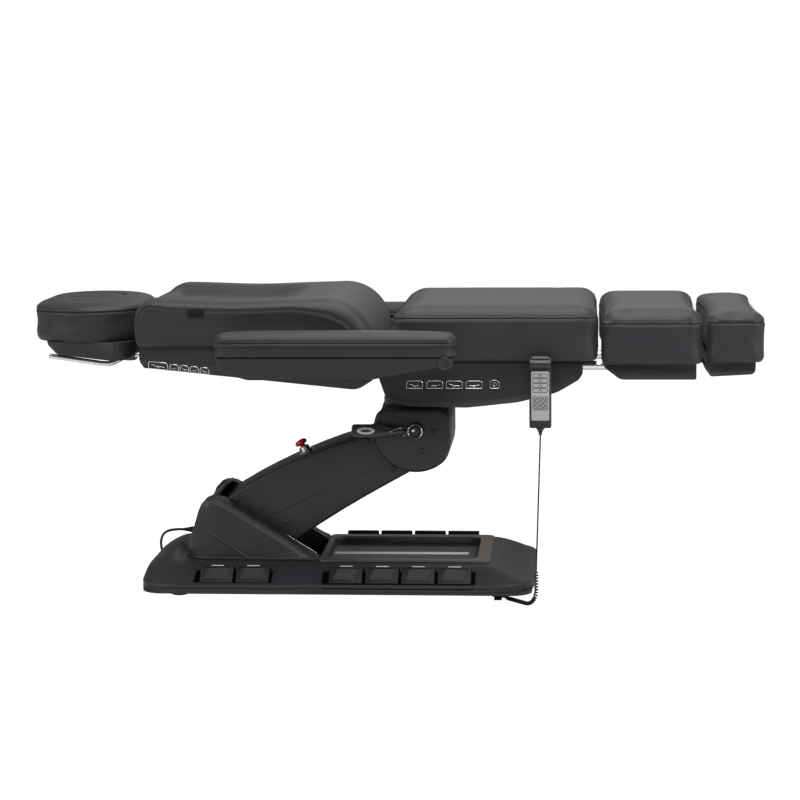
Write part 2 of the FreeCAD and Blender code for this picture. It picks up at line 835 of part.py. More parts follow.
def turntable():
    disc = rod((head_axis_x, 0, turntable_low), (head_axis_x, 0, turntable_top), turntable_radius)
    disc = disc.cut(rod((head_axis_x, 0, turntable_low - 1), (head_axis_x, 0, turntable_top + 1),
                        spigot_radius + run_gap))
    post = prism([(head_axis_x - 36, turntable_top), (head_axis_x + 36, turntable_top),
                  (tilt_x + ear_eye, tilt_z), (tilt_x - ear_eye, tilt_z)], ear_y, ear_y + ear)
    post = post.fuse(cross_rod(tilt_x, tilt_z, ear_y, ear_y + ear, ear_eye))
    post = post.cut(cross_rod(tilt_x, tilt_z, ear_y - 1, ear_y + ear + 1, tilt_shaft_radius + run_gap))
    return joined([disc] + pair(post))


def tilt_motor():
    """Gearbox on the tilt shaft, standing on the turntable, with its motor lying back."""
    x0 = tilt_x - ear_eye
    x1 = tilt_x + ear_eye
    leg = block(x0, x1, 20, 62, turntable_top, tilt_z)
    eye = cross_rod(tilt_x, tilt_z, 20, 62, ear_eye)
    motor = rod((x0 - 62, 41, turntable_top + 21), (x0, 41, turntable_top + 21), 19)
    bore = cross_rod(tilt_x, tilt_z, 19, 63, tilt_shaft_radius + run_gap)
    return joined([leg, eye, motor]).cut(bore)


# Seat
seat_board_top = seat_bottom - seat_gap
seat_board_low = seat_board_top - board
plate_y = cushion_half_width + 6
leg_shaft_radius = tilt_shaft_radius
link_y = plate_y + hinge_plate + 4


def seat_lean(z):
    """Head end of the seat leans back over the nose of the backrest."""
    return max(0.0, (z - back_hinge_z - 10) * 0.55)


def seat_cushion():
    left = back_hinge_x + nose_radius + 8
    return pad(left, seat_right, -cushion_half_width, cushion_half_width, seat_bottom, seat_side, seat_dome,
               seat_corner, seat_lean)


def seat_frame():
    rail_end = rail_y + rail_width
    rail = block(seat_cross_x - 17, leg_pivot_x, rail_y, rail_end, leg_pivot_z - 8, seat_board_low)
    rail = rail.fuse(cross_rod(leg_pivot_x, leg_pivot_z, rail_y, rail_end, 18))
    rail = rail.cut(cross_rod(leg_pivot_x, leg_pivot_z, rail_y - 1, rail_end + 1,
                              leg_shaft_radius + run_gap))
    plate = strap(back_hinge_x, back_hinge_z, seat_cross_x, seat_cross_z, hinge_eye,
                  plate_y, plate_y + hinge_plate)
    link_x = back_hinge_x + arm_link_dx
    link_z = back_hinge_z + arm_link_dz
    ear_plate = strap(link_x, link_z, link_x, back_hinge_z - 10, arm_link_eye,
                      plate_y, plate_y + hinge_plate)
    plate = plate.fuse(ear_plate).cut(cross_rod(back_hinge_x, back_hinge_z, plate_y - 1,
                                                plate_y + hinge_plate + 1, hinge_pin + run_gap))
    pin = cross_rod(link_x, link_z, plate_y + 1, link_y + arm_link + 1, arm_link_pin)
    top = block(seat_cross_x, seat_right - 34, -cushion_half_width + 30, cushion_half_width - 30,
                seat_board_low, seat_board_top)
    tube = cross_rod(seat_cross_x, seat_cross_z, -plate_y - 2, plate_y + 2, seat_cross_radius)
    shaft = cross_rod(tilt_x, tilt_z, -rail_end, rail_end, tilt_shaft_radius)
    return joined([top, tube, shaft] + pair(rail) + pair(plate) + pair(pin))


def seat_shell():
    right = seat_shell_right
    left = seat_shell_left
    top = seat_board_low
    low = seat_shell_low
    neck = (left + seat_shell_neck_in, low + seat_shell_neck)
    heel = (left + seat_shell_heel_in, low + seat_shell_heel)
    toe = (right - seat_shell_toe_in, low + seat_shell_toe)
    end = (right, low + seat_shell_end)
    outline = [(left, top), neck, heel, (left + seat_shell_keel_in, low), toe, end, (right, top)]
    t = thin_wall
    hollow = [(left + t, top + 1), (neck[0] + t, neck[1]), (heel[0] + t, heel[1]), (heel[0] + t, low - 1),
              (toe[0] - t, low - 1), (toe[0] - t, toe[1] + t), (right - t, end[1] + t), (right - t, top + 1)]
    half = seat_shell_half_width
    shell = prism(outline, -half, half).cut(prism(hollow, -half + t, half - t))
    shell = shell.cut(block(left - 1, heel[0] + 12, -half + 60, half - 60, low - 1, top + 1))
    slot_half = leg_tube_radius + 8
    slot = block(toe[0] - 27, right + 1, leg_tube_y - slot_half, leg_tube_y + slot_half, low,
                 leg_pivot_z + leg_tube_radius + 3)
    tube_hole = cross_rod(seat_cross_x, seat_cross_z, -half - 1, half + 1, seat_cross_radius + 0.5)
    return shell.cut(pair(slot) + [tube_hole])


def gear_motors():
    """Gear motors of the leg shaft and of the back, hung under the seat board."""
    axis_y = (motor_inner + motor_outer) / 2
    case_x = leg_pivot_x - leg_case_back
    leg_case = block(case_x, leg_pivot_x + leg_case_front, motor_inner, motor_outer,
                     leg_pivot_z - motor_case_drop, seat_board_low)
    leg_case = leg_case.fuse(cross_rod(leg_pivot_x, leg_pivot_z, motor_inner, motor_outer, leg_case_eye))
    motor_z = leg_pivot_z - leg_motor_drop
    leg_motor = rod((case_x - leg_motor_length, axis_y, motor_z), (case_x, axis_y, motor_z),
                    leg_motor_radius)
    leg_bore = cross_rod(leg_pivot_x, leg_pivot_z, motor_inner - 1, motor_outer + 1,
                         leg_shaft_radius + run_gap)
    case_x = seat_cross_x + back_case_front
    back_case = block(seat_cross_x - back_case_back, case_x, -motor_outer, -motor_inner,
                      seat_cross_z - motor_case_drop, seat_board_low)
    motor_z = seat_cross_z - back_motor_drop
    back_motor = rod((case_x, -axis_y, motor_z), (case_x + back_motor_length, -axis_y, motor_z),
                     back_motor_radius)
    back_bore = cross_rod(seat_cross_x, seat_cross_z, -motor_outer - 1, -motor_inner + 1,
                          seat_cross_radius + run_gap)
    return [joined([leg_case, leg_motor]).cut(leg_bore), joined([back_case, back_motor]).cut(back_bore)]


# Back
back_seam = back_hinge_z + back_side
back_crest = back_seam + back_bolster
back_recess = back_crest - back_dish
back_board_top = back_hinge_z - seat_gap
back_board_low = back_board_top - 10
head_rail_z = head_bottom - head_pan - head_rail_radius - 4


def back_section(y, inset, top, nose):
    left = back_left + inset
    corners = [(left + 12, back_hinge_z), (left, back_hinge_z + 18), (left, top - 24), (left + 26, top),
               (back_hinge_x - 90, top), (back_hinge_x, back_hinge_z + nose)]
    points = [vec(x, y, z) for x, z in corners]
    edges = [Part.LineSegment(a, b).toShape() for a, b in zip(points, points[1:])]
    knee = nose * math.sqrt(0.5)
    tip = vec(back_hinge_x + nose, y, back_hinge_z)
    edges.append(Part.Arc(points[-1], vec(back_hinge_x + knee, y, back_hinge_z + knee), tip).toShape())
    edges.append(Part.LineSegment(tip, points[0]).toShape())
    return Part.Wire(edges)


def back_cushion():
    """Two raised bolsters along the sides, a recessed middle and a round nose at the seat."""
    half = cushion_half_width
    stations = [(half, 8.0, back_seam - 10, nose_radius - 9),
                (half - 8, 1.0, back_seam + 8, nose_radius - 3),
                (half - 48, 0.0, back_crest, nose_radius), (half - 95, 0.0, back_crest - 6, nose_radius),
                (half - 145, 0.0, back_recess, nose_radius)]
    near = [back_section(-y, inset, top, nose) for y, inset, top, nose in stations]
    far = [back_section(y, inset, top, nose) for y, inset, top, nose in reversed(stations)]
    return Part.makeLoft(near + far, True, True)


def back_frame():
    left = back_shell_left + thin_wall + seat_gap
    half = cushion_half_width - 40
    pieces = [block(left + 6, back_hinge_x - 14, -half, half, back_board_low, back_board_top)]
    arm_y = cushion_half_width + 1
    tab = block(back_hinge_x - 62, back_hinge_x - 14, half - 10, arm_y + hinge_arm,
                back_board_low, back_board_top)
    side = strap(back_hinge_x - 36, back_board_low + 5, back_hinge_x, back_hinge_z, 12,
                 arm_y, arm_y + hinge_arm)
    stub = cross_rod(back_hinge_x, back_hinge_z, arm_y, plate_y + hinge_plate + 2, hinge_pin)
    sleeve = rod((left, head_rail_y, head_rail_z), (head_rail_right, head_rail_y, head_rail_z), head_sleeve)
    saddles = [block(x, x + 22, head_rail_y - 6, head_rail_y + 6, head_rail_z, back_board_low)
               for x in (left + 12, head_rail_right - 40)]
    for piece in [tab, side, stub, sleeve] + saddles:
        pieces += pair(piece)
    pieces.append(cross_rod(arm_rod_x, arm_rod_z, -armrest_inner - 12, armrest_inner + 12, arm_rod_radius))
    pieces.append(block(arm_rod_x - arm_rod_radius, arm_rod_x + arm_rod_radius, -half, half,
                        arm_rod_z, back_board_low))
    bore = rod((left - 1, head_rail_y, head_rail_z), (head_rail_right + 1, head_rail_y, head_rail_z),
               head_rail_radius + run_gap)
    return joined(pieces).cut(pair(bore))


def back_shell():
    left = back_shell_left
    top = back_board_top
    right = back_hinge_x + nose_radius
    low_x = right - back_shell_low_in
    nose_x = right + back_shell_nose_out
    outline = [(left, top), (left, back_shell_head), (low_x, back_shell_low), (nose_x, back_shell_nose),
               (right - back_shell_neck_in, back_shell_neck), (right - back_shell_top_in, top)]
    t = thin_wall
    open_x = nose_x + 15
    hollow = [(left + t, top + 1), (left + t, back_shell_head + t), (low_x, back_shell_low + t),
              (open_x, back_shell_nose + 9), (open_x, top + 1)]
    half = back_shell_half_width
    shell = prism(outline, -half, half).cut(prism(hollow, -half + t, half - t))
    notch = block(back_hinge_x - 66, back_hinge_x + 20, half - t - 1, half + 1, back_board_low - 4, top + 1)
    rail_hole = rod((left - 1, head_rail_y, head_rail_z), (left + t + 1, head_rail_y, head_rail_z),
                    head_rail_radius + 0.5)
    rod_hole = cross_rod(arm_rod_x, arm_rod_z, -half - 1, half + 1, arm_rod_radius + 0.5)
    return shell.cut(pair(notch) + pair(rail_hole) + [rod_hole])


# Headrest
plug_x = (head_left + head_right) / 2
keel_low = head_bottom - head_pan - head_keel
head_crown = head_bottom + head_side + head_dome


def plug_slab(grow, z0, z1):
    x_half = plug_length / 2 + grow
    y_half = plug_width / 2 + grow
    return rounded_slab(plug_x - x_half, plug_x + x_half, -y_half, y_half, z0, z1, y_half - 2)


def headrest_cushion():
    cushion = pad(head_left, head_right, -head_half_width, head_half_width, head_bottom, head_side,
                  head_dome, head_corner)
    return cushion.cut(plug_slab(1.0, head_bottom - 1, head_crown + 1))


def headrest_shell():
    margin = 12.0
    half = head_half_width - margin
    pan = rounded_slab(head_left + margin, head_right - margin, -half, half,
                       head_bottom - head_pan, head_bottom - seat_gap, head_corner - margin)
    keel = prism([(head_left + 100, head_bottom - head_pan), (head_left + 130, keel_low),
                  (head_right - 24, keel_low), (head_right - 24, head_bottom - head_pan)],
                 -head_keel_half_width, head_keel_half_width)
    saddles = [block(x, x + 26, head_rail_y - 14, head_rail_y + 14, head_rail_z - 12, head_bottom - head_pan)
               for x in (head_left + 66, head_right - 60)]
    pieces = [pan, keel]
    for saddle in saddles:
        pieces += pair(saddle)
    rail = rod((head_left, head_rail_y, head_rail_z), (head_right, head_rail_y, head_rail_z),
               head_rail_radius + run_gap)
    stem = rod((knob_x, 0, keel_low - 1), (knob_x, 0, keel_low + 14), 6 + run_gap)
    return joined(pieces).cut(pair(rail) + [stem])


def headrest_rails():
    return pair(rod((head_left + 60, head_rail_y, head_rail_z), (head_rail_right, head_rail_y, head_rail_z),
                    head_rail_radius))


def headrest_knob():
    top = keel_low - seat_gap
    grip = Part.makeCone(knob_radius - 5, knob_radius, knob_height, vec(knob_x, 0, top - knob_height))
    return joined([grip, rod((knob_x, 0, top - 1), (knob_x, 0, keel_low + 13), 6)])


# Armrests
def armrest_shell():
    left = armrest_left
    right = armrest_right
    low = armrest_low
    top = armrest_split - seat_gap
    outline = [(left + 4, top), (left + 14, top - 24), (left + 46, low + 14), (left + 84, low),
               (right - 218, low), (right - 70, low + 28), (right - 4, top - 14), (right, top)]
    t = thin_wall
    hollow = [(left + 4 + t, top + 1), (left + 14 + t, top - 23), (left + 47 + t, low + 16),
              (left + 86, low + t), (right - 219, low + t), (right - 72, low + 28 + t),
              (right - 5 - t, top - 12), (right - t, top + 1)]
    inner = armrest_inner
    shell = prism(outline, inner, armrest_outer).cut(prism(hollow, inner + t, armrest_outer - t))
    boss = cross_rod(arm_rod_x, arm_rod_z, inner + 1, inner + 30, arm_rod_radius + 6)
    boss = boss.common(block(left, right, inner, armrest_outer, low, top))
    pin = cross_rod(arm_rod_x + arm_link_dx, arm_rod_z + arm_link_dz, link_y - 1, inner + 1, arm_link_pin)
    cap = cross_rod(right - 25, top - 12, armrest_outer - 1, armrest_outer + 4, armrest_cap)
    cap = cap.common(block(left, right, inner, armrest_outer + 9, low, top))
    bore = cross_rod(arm_rod_x, arm_rod_z, inner - 1, inner + 14, arm_rod_radius + run_gap)
    return joined([shell, boss, pin, cap]).cut(bore)


def armrest_pad():
    width = armrest_outer - armrest_inner
    return pad(armrest_left, armrest_right, armrest_inner, armrest_outer, armrest_split, armrest_side,
               armrest_dome, 0.32 * width, dome=0.006 * width, tuck=0.01 * width)


def armrest_link():
    x0 = back_hinge_x + arm_link_dx
    z0 = back_hinge_z + arm_link_dz
    x1 = arm_rod_x + arm_link_dx
    z1 = arm_rod_z + arm_link_dz
    bar = strap(x0, z0, x1, z1, arm_link_eye, link_y, link_y + arm_link)
    return bar.cut([cross_rod(x0, z0, link_y - 1, link_y + arm_link + 1, arm_link_pin + run_gap),
                    cross_rod(x1, z1, link_y - 1, link_y + arm_link + 1, arm_link_pin + 1)])


# Leg and foot sections
leg_board_top = leg_bottom - seat_gap
foot_board_top = foot_bottom - seat_gap
leg_knob_x = leg_shell_left + 56


def leg_rails():
    tube = rod((leg_pivot_x, leg_tube_y, leg_pivot_z), (leg_tube_right, leg_tube_y, leg_pivot_z),
               leg_tube_radius)
    shaft = cross_rod(leg_pivot_x, leg_pivot_z, -rail_y - rail_width, rail_y + rail_width, leg_shaft_radius)
    return joined([shaft] + pair(tube))


def leg_shell():
    left = leg_shell_left
    right = leg_shell_right
    low = leg_shell_low
    top = leg_board_top
    t = thin_wall
    half = seat_shell_half_width - 5
    outline = [(left, top), (left, top - 10), (left + 41, low), (right, low), (right, top)]
    hollow = [(left + t, top - board), (left + t, top - 9), (left + 42, low + t), (right - t, low + t),
              (right - t, top - board)]
    shell = prism(outline, -half, half).cut(prism(hollow, -half + t, half - t))
    sleeve_end = left + leg_sleeve_length
    sleeve = rod((left + 1, leg_tube_y, leg_pivot_z), (sleeve_end, leg_tube_y, leg_pivot_z),
                 leg_tube_radius + leg_sleeve)
    lug = block(right - 1, foot_hinge_x, 60, 90, foot_hinge_z - foot_barrel, foot_hinge_z + foot_barrel)
    barrel = cross_rod(foot_hinge_x, foot_hinge_z, 60, 90, foot_barrel)
    pieces = [shell]
    for piece in (sleeve.common(prism(outline, -half, half)), lug.fuse(barrel)):
        pieces += pair(piece)
    tube_bore = rod((left - 1, leg_tube_y, leg_pivot_z), (sleeve_end + 1, leg_tube_y, leg_pivot_z),
                    leg_tube_radius + run_gap)
    pin_bore = cross_rod(foot_hinge_x, foot_hinge_z, 59, 91, foot_pin + run_gap)
    stem = rod((leg_knob_x, -leg_tube_y, low - 1), (leg_knob_x, -leg_tube_y, low + t + 1), 4 + run_gap)
    return joined(pieces).cut(pair(tube_bore) + pair(pin_bore) + [stem])


def leg_knob():
    low = leg_shell_low - seat_gap
    grip = Part.makeCone(9, 12, 14, vec(leg_knob_x, -leg_tube_y, low - 14))
    foot = leg_pivot_z - leg_tube_radius - leg_sleeve - seat_gap
    return joined([grip, rod((leg_knob_x, -leg_tube_y, low - 1), (leg_knob_x, -leg_tube_y, foot), 4)])


def leg_cushion():
    return pad(leg_left, leg_right, -cushion_half_width, cushion_half_width, leg_bottom, leg_side, leg_dome,
               leg_corner)


def foot_shell():
    left = foot_shell_left
    right = foot_shell_right
    low = foot_shell_low
    top = foot_board_top
    t = thin_wall
    half = seat_shell_half_width - 5
    outline = [(left, top), (left, low + 22), (left + 16, low), (right, low + 6), (right, top)]
    hollow = [(left + t, top - board), (left + t, low + 23), (left + 17, low + t), (right - t, low + 6 + t),
              (right - t, top - board)]
    shell = prism(outline, -half, half).cut(prism(hollow, -half + t, half - t))
    lug = block(foot_hinge_x, left + 1, 92, 122, foot_hinge_z - foot_barrel + 1, foot_hinge_z + foot_barrel)
    barrel = cross_rod(foot_hinge_x, foot_hinge_z, 92, 122, foot_barrel)
    pin = cross_rod(foot_hinge_x, foot_hinge_z, 58, 122, foot_pin)
    return joined([shell] + pair(joined([lug, barrel, pin])))


def foot_cushion():
    return pad(foot_left, foot_right, -cushion_half_width, cushion_half_width, foot_bottom, foot_side,
               foot_dome, leg_corner)


# Handset, its hook and its cord
hook_z = handset_low + 138
slot_half = 5.0
slot_depth = 6.0


def handset_case():
    x0 = handset_x - handset_width / 2
    y1 = -handset_back
    case = rounded_slab(x0, x0 + handset_width, y1 - handset_thickness, y1,
                        handset_low, handset_low + handset_height, handset_corner)
    slot = block(handset_x - slot_half, handset_x + slot_half, y1 - slot_depth, y1 + 1,
                 handset_low - 1, hook_z + slot_half)
    relief = Part.makeCone(4, 7, handset_relief, vec(handset_x, y1 - 14, handset_low - handset_relief))
    return joined([case, relief]).cut(slot)


def handset_hook():
    plate_out = handset_back - 0.6
    peg = rod((handset_x, -plate_out + 2, hook_z), (handset_x, -plate_out - 5, hook_z), 4)
    plate = block(handset_x - 15, handset_x + 15, -plate_out, -plate_out + 4, hook_z - 20, hook_z + 30)
    arm = block(handset_x - 10, handset_x + 10, -plate_out + 3, -seat_shell_half_width - seat_gap,
                hook_z - 8, hook_z + 8)
    return joined([plate, peg, arm])


cord_top = (handset_x + head_shift_x, -handset_back - 14, handset_low - handset_relief + head_shift_z)
curl_top = (378.0, -335.0, 111.0)
curl_end = (292.0, -232.0)
curl_floor = 10.0
curl_bend = 44.0


def handset_curl():
    """Curly stretch: down beside the base, round a bend and along the floor to the gland."""
    run_x = curl_end[0] - curl_top[0]
    run_y = curl_end[1] - curl_top[1]
    run = math.hypot(run_x, run_y)
    drop = curl_top[2] - 0.5 - curl_floor - curl_bend
    bend = curl_bend * math.pi / 2
    total = drop + bend + run - curl_bend
    loop = (curl_diameter - cord_diameter) / 2

    def axis(s):
        """Distance out, height and lean of the curl's axis at a length along it."""
        if s < drop:
            return 0.0, curl_floor + curl_bend + drop - s, 0.0
        if s < drop + bend:
            turn = (s - drop) / curl_bend
            return curl_bend * (1 - math.cos(turn)), curl_floor + curl_bend * (1 - math.sin(turn)), turn
        return curl_bend + s - drop - bend, curl_floor, math.pi / 2

    steps = int(total / curl_pitch * 4)
    spots = []
    for i in range(steps + 1):
        s = total * i / steps
        out, height, turn = axis(s)
        ramp = min(1.0, max(0.0, min(s, total - s) - 5) / (1.5 * curl_pitch))
        spin = 2 * math.pi * s / curl_pitch
        up = loop * ramp * math.cos(spin)
        across = loop * ramp * math.sin(spin)
        out += up * math.cos(turn)
        height += up * math.sin(turn)
        spots.append((curl_top[0] + (run_x * out - run_y * across) / run,
                      curl_top[1] + (run_y * out + run_x * across) / run, height))
    return winding("handset_curl", spots, cord_diameter)


# Mains lead: gland, loop, coil and plug
gland_tip = column_back - gland_length
mains_radius = mains_diameter / 2
coil_x = -540.0
coil_y = 385.0
coil_top_z = mains_radius + 0.3 + coil_pitch * (coil_layers - 1)
coil_outer = coil_inner + coil_pitch * coil_turns
coil_start = coil_x - coil_outer
floor_z = mains_radius + 1
mains_route = [
    (gland_tip, gland_y, gland_z), (gland_tip - 28, gland_y + 4, gland_z),
    (gland_tip - 58, gland_y + 22, gland_z - 13),
    (-672, 100, 92), (-679, 148, 52), (-674, 196, 18), (-660, 240, floor_z), (-638, 280, floor_z),
    (-615, 312, 12), (coil_start - 10, 336, 25), (coil_start, coil_y - 19, coil_top_z),
    (coil_start, coil_y, coil_top_z)]


def cord_glands():
    through = 22
    sleeve = Part.makeCone(mains_radius, gland_radius, gland_length, vec(gland_tip, gland_y, gland_z),
                           vec(1, 0, 0))
    barrel = rod((column_back, gland_y, gland_z), (column_back + through, gland_y, gland_z), gland_radius)
    nut = rod((column_back + through - 8, gland_y, gland_z), (column_back + through, gland_y, gland_z),
              gland_radius + 4)
    socket = block(curl_end[0] - 26, curl_end[0] - 6, curl_end[1] - 2, curl_end[1] + 22, 2, rim_bottom)
    return [joined([sleeve, barrel, nut]), socket]


def mains_coil():
    """Layers of turns that spiral in and out again, each half a turn of climb apart."""
    quarters = 4 * coil_turns
    radius = coil_outer
    sunk = 0.0
    stations = []
    for layer in range(coil_layers):
        step = coil_pitch / 4 if layer % 2 else -coil_pitch / 4
        for _ in range(quarters):
            radius += step
            stations.append((radius, sunk))
        if layer < coil_layers - 1:
            stations += [(radius, sunk + 0.5), (radius, sunk + 1)]
            sunk += 1
    spots = [(coil_start, coil_y, coil_top_z), (coil_start, coil_y + mains_diameter, coil_top_z)]
    start = math.pi - mains_diameter / coil_outer
    for i, (radius, sunk) in enumerate(stations):
        angle = start - math.pi / 2 * (i + 1)
        spots.append((coil_x + radius * math.cos(angle), coil_y + radius * math.sin(angle),
                      coil_top_z - coil_pitch * sunk))
    last_angle = start - math.pi / 2 * len(stations)
    heading = vec(math.sin(last_angle), -math.cos(last_angle), 0)
    tail = vec(*spots[-1]) + heading * coil_tail
    spots.append((tail.x, tail.y, tail.z))
    return winding("mains_coil", spots, mains_diameter), tail, heading


def mains_plug(tail, heading):
    """Flat plug lying on the floor at the end of the coil."""
    body = rounded_slab(0, 46, -17, 17, -mains_radius, 18, 8)
    pins = [rod((45, y, 7), (64, y, 7), 2.4) for y in (-9.5, 9.5)]
    plug = joined([body] + pins)
    plug.rotate(vec(0, 0, 0), vec(0, 0, 1), math.degrees(math.atan2(heading.y, heading.x)))
    plug.translate(tail)
    return plug


# Build every piece
save("base_cover", [base_cover()])
save("base_frame", [base_frame(arm_foot_x + link_dx, arm_foot_z + link_dz)])
save("floor_feet", floor_feet())
save("deck_tray", [deck_tray()])
for index, centre in enumerate(pedal_centres):
    save("near_pedal_%d" % (index + 1), [pedal(centre, -1)])
    save("far_pedal_%d" % (index + 1), [pedal(centre, 1)])
save("column_cover", [column_cover()])
save("lift_motor", [lift_motor()])
save("lift_arm", [lift_arm()])
save("arm_cover", [arm_cover()])
save("arm_screws", arm_screws())
save("stop_collar", [stop_collar()])
save("stop_button", [stop_button()])
save("levelling_link", [levelling_link()])
save("head_housing", [on_head(head_housing())])
save("housing_screws", [on_head(solid) for solid in housing_screws()])
save("swivel_lever", [on_head(swivel_lever())])
save("turntable", [on_head(turntable())])
save("tilt_motor", [on_head(tilt_motor())])
save("seat_frame", [on_head(seat_frame())])
save("seat_cushion", [on_head(seat_cushion())])
save("seat_shell", [on_head(seat_shell())])
save("gear_motors", [on_head(solid) for solid in gear_motors()])
save("back_frame", [on_head(back_frame())])
save("back_cushion", [on_head(back_cushion())])
save("back_shell", [on_head(back_shell())])
save("headrest_rails", [on_head(solid) for solid in headrest_rails()])
save("headrest_shell", [on_head(headrest_shell())])
save("headrest_cushion", [on_head(headrest_cushion())])
save("face_plug", [on_head(plug_slab(0.0, head_bottom, head_crown - 1))])
save("headrest_knob", [on_head(headrest_knob())])
far_shell = on_head(armrest_shell())
far_pad = on_head(armrest_pad())
save("far_armrest_shell", [far_shell])
save("near_armrest_shell", [mirrored(far_shell)])
save("far_armrest_pad", [far_pad])
save("near_armrest_pad", [mirrored(far_pad)])
save("armrest_links", pair(on_head(armrest_link())))
save("leg_rails", [on_head(leg_rails())])
save("leg_shell", [on_head(leg_shell())])
save("leg_knob", [on_head(leg_knob())])
save("leg_cushion", [on_head(leg_cushion())])
save("foot_shell", [on_head(foot_shell())])
save("foot_cushion", [on_head(foot_cushion())])
save("handset_case", [on_head(handset_case())])
save("handset_hook", [on_head(handset_hook())])
save("handset_cord", [rod(cord_top, curl_top, cord_diameter / 2)])
save("handset_curl", [handset_curl()])
save("cord_glands", cord_glands())
save("mains_cord", [lead("mains_cord", mains_route, mains_diameter)])
coil, plug_spot, plug_heading = mains_coil()
save("mains_coil", [coil])
save("mains_plug", [mains_plug(plug_spot, plug_heading)])
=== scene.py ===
import json
import math

import bmesh
import bpy
import numpy as np
from mathutils import Matrix, Vector

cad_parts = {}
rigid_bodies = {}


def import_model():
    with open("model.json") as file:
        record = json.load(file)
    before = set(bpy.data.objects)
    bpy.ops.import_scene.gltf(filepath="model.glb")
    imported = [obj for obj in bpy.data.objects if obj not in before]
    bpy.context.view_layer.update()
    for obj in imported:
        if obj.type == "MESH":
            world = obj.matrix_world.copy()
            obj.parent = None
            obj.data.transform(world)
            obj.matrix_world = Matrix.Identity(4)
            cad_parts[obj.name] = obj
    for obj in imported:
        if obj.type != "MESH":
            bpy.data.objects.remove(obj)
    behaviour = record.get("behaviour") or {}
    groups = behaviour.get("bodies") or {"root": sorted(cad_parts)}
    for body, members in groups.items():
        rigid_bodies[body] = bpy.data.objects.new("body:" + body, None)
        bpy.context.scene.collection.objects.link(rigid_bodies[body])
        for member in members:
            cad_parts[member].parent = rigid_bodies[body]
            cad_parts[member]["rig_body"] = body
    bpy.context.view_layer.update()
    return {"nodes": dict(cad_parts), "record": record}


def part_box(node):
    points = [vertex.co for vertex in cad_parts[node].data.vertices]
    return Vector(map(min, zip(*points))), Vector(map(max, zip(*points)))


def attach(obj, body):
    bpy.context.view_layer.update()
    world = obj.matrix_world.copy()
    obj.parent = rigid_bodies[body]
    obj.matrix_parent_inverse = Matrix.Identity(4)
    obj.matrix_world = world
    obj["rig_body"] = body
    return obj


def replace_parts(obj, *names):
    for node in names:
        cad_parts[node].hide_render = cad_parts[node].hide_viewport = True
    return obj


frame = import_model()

# Driving sizes, in metres
mains_diameter = 0.007
cord_diameter = 0.004
curl_diameter = 0.012
curl_pitch = 0.0075


# Shader wires
class Wire:
    """One socket of a material's node tree; operators on it add Math nodes."""

    def __init__(self, tree, socket=None):
        self.tree = tree
        self.socket = socket

    def node(self, kind, settings=None, inputs=None, output=0):
        """Adds a node: its settings first, then the values or wires of its sockets."""
        made = self.tree.nodes.new(kind)
        for name, value in (settings or {}).items():
            setattr(made, name, value)
        for key, value in (inputs or {}).items():
            if isinstance(value, Wire):
                self.tree.links.new(value.socket, made.inputs[key])
            else:
                made.inputs[key].default_value = value
        return Wire(self.tree, made.outputs[output] if len(made.outputs) else None)

    def math(self, operation, *values):
        return self.node("ShaderNodeMath", {"operation": operation}, dict(enumerate(values)))

    def __add__(self, other):
        return self.math("ADD", self, other)

    __radd__ = __add__

    def __sub__(self, other):
        return self.math("SUBTRACT", self, other)

    def __rsub__(self, other):
        return self.math("SUBTRACT", other, self)

    def __mul__(self, other):
        return self.math("MULTIPLY", self, other)

    __rmul__ = __mul__

    def step(self, low, high):
        """Smooth rise from 0 at low to 1 at high."""
        settings = {"interpolation_type": "SMOOTHSTEP"}
        return self.node("ShaderNodeMapRange", settings, {"Value": self, "From Min": low, "From Max": high})


def cleared(holder):
    """Emptied node tree of a material or a world, ready for wiring."""
    holder.use_nodes = True
    holder.node_tree.nodes.clear()
    return Wire(holder.node_tree)


def place(sheet, stretch=(1.0, 1.0, 1.0)):
    """Position on the piece, in metres, stretched along its axes."""
    spot = sheet.node("ShaderNodeTexCoord", output="Object")
    return sheet.node("ShaderNodeMapping", {}, {"Vector": spot, "Scale": stretch})


def noise(sheet, spot, scale, detail=3.0):
    return sheet.node("ShaderNodeTexNoise", {}, {"Vector": spot, "Scale": scale, "Detail": detail})


def cells(sheet, spot, scale, feature="F1"):
    return sheet.node("ShaderNodeTexVoronoi", {"feature": feature}, {"Vector": spot, "Scale": scale})


def tint(sheet, share, dark, light):
    """Colour between dark and light by share."""
    colours = {"Factor": share, 6: (*dark, 1.0), 7: (*light, 1.0)}
    return sheet.node("ShaderNodeMix", {"data_type": "RGBA"}, colours, output=2)


def bump(sheet, height, depth, strength=1.0):
    return sheet.node("ShaderNodeBump", {}, {"Height": height, "Distance": depth, "Strength": strength})


def sharp_edge_lightening(sheet, start=0.52, full=0.60):
    """Share of lightening on sharply turning outward edges, from how sharply the surface turns."""
    turn = sheet.node("ShaderNodeNewGeometry", output="Pointiness")
    return turn.step(start, full)


def finish(name, paint):
    material = bpy.data.materials.new(name)
    sheet = cleared(material)
    shader = sheet.node("ShaderNodeBsdfPrincipled", {}, paint(sheet))
    sheet.node("ShaderNodeOutputMaterial", {}, {"Surface": shader})
    return material


# Finishes
def leatherette(sheet):
    spot = place(sheet)
    grain = cells(sheet, spot, 950.0, "DISTANCE_TO_EDGE")
    crease = grain.step(0.0, 0.22)
    cloud = noise(sheet, spot, 9.0)
    fine = noise(sheet, spot, 260.0)
    shade = tint(sheet, cloud * 0.6 + fine * 0.4, (0.0150, 0.0146, 0.0180), (0.0270, 0.0265, 0.0320))
    rough = 0.40 + 0.10 * cloud + 0.08 * (1 - crease)
    relief = bump(sheet, crease * 0.7 + fine * 0.3, 0.00012, 0.55)
    return {"Base Color": shade, "Roughness": rough, "Normal": relief, "Sheen Weight": 0.06,
            "Sheen Roughness": 0.5, "Specular IOR Level": 0.36}


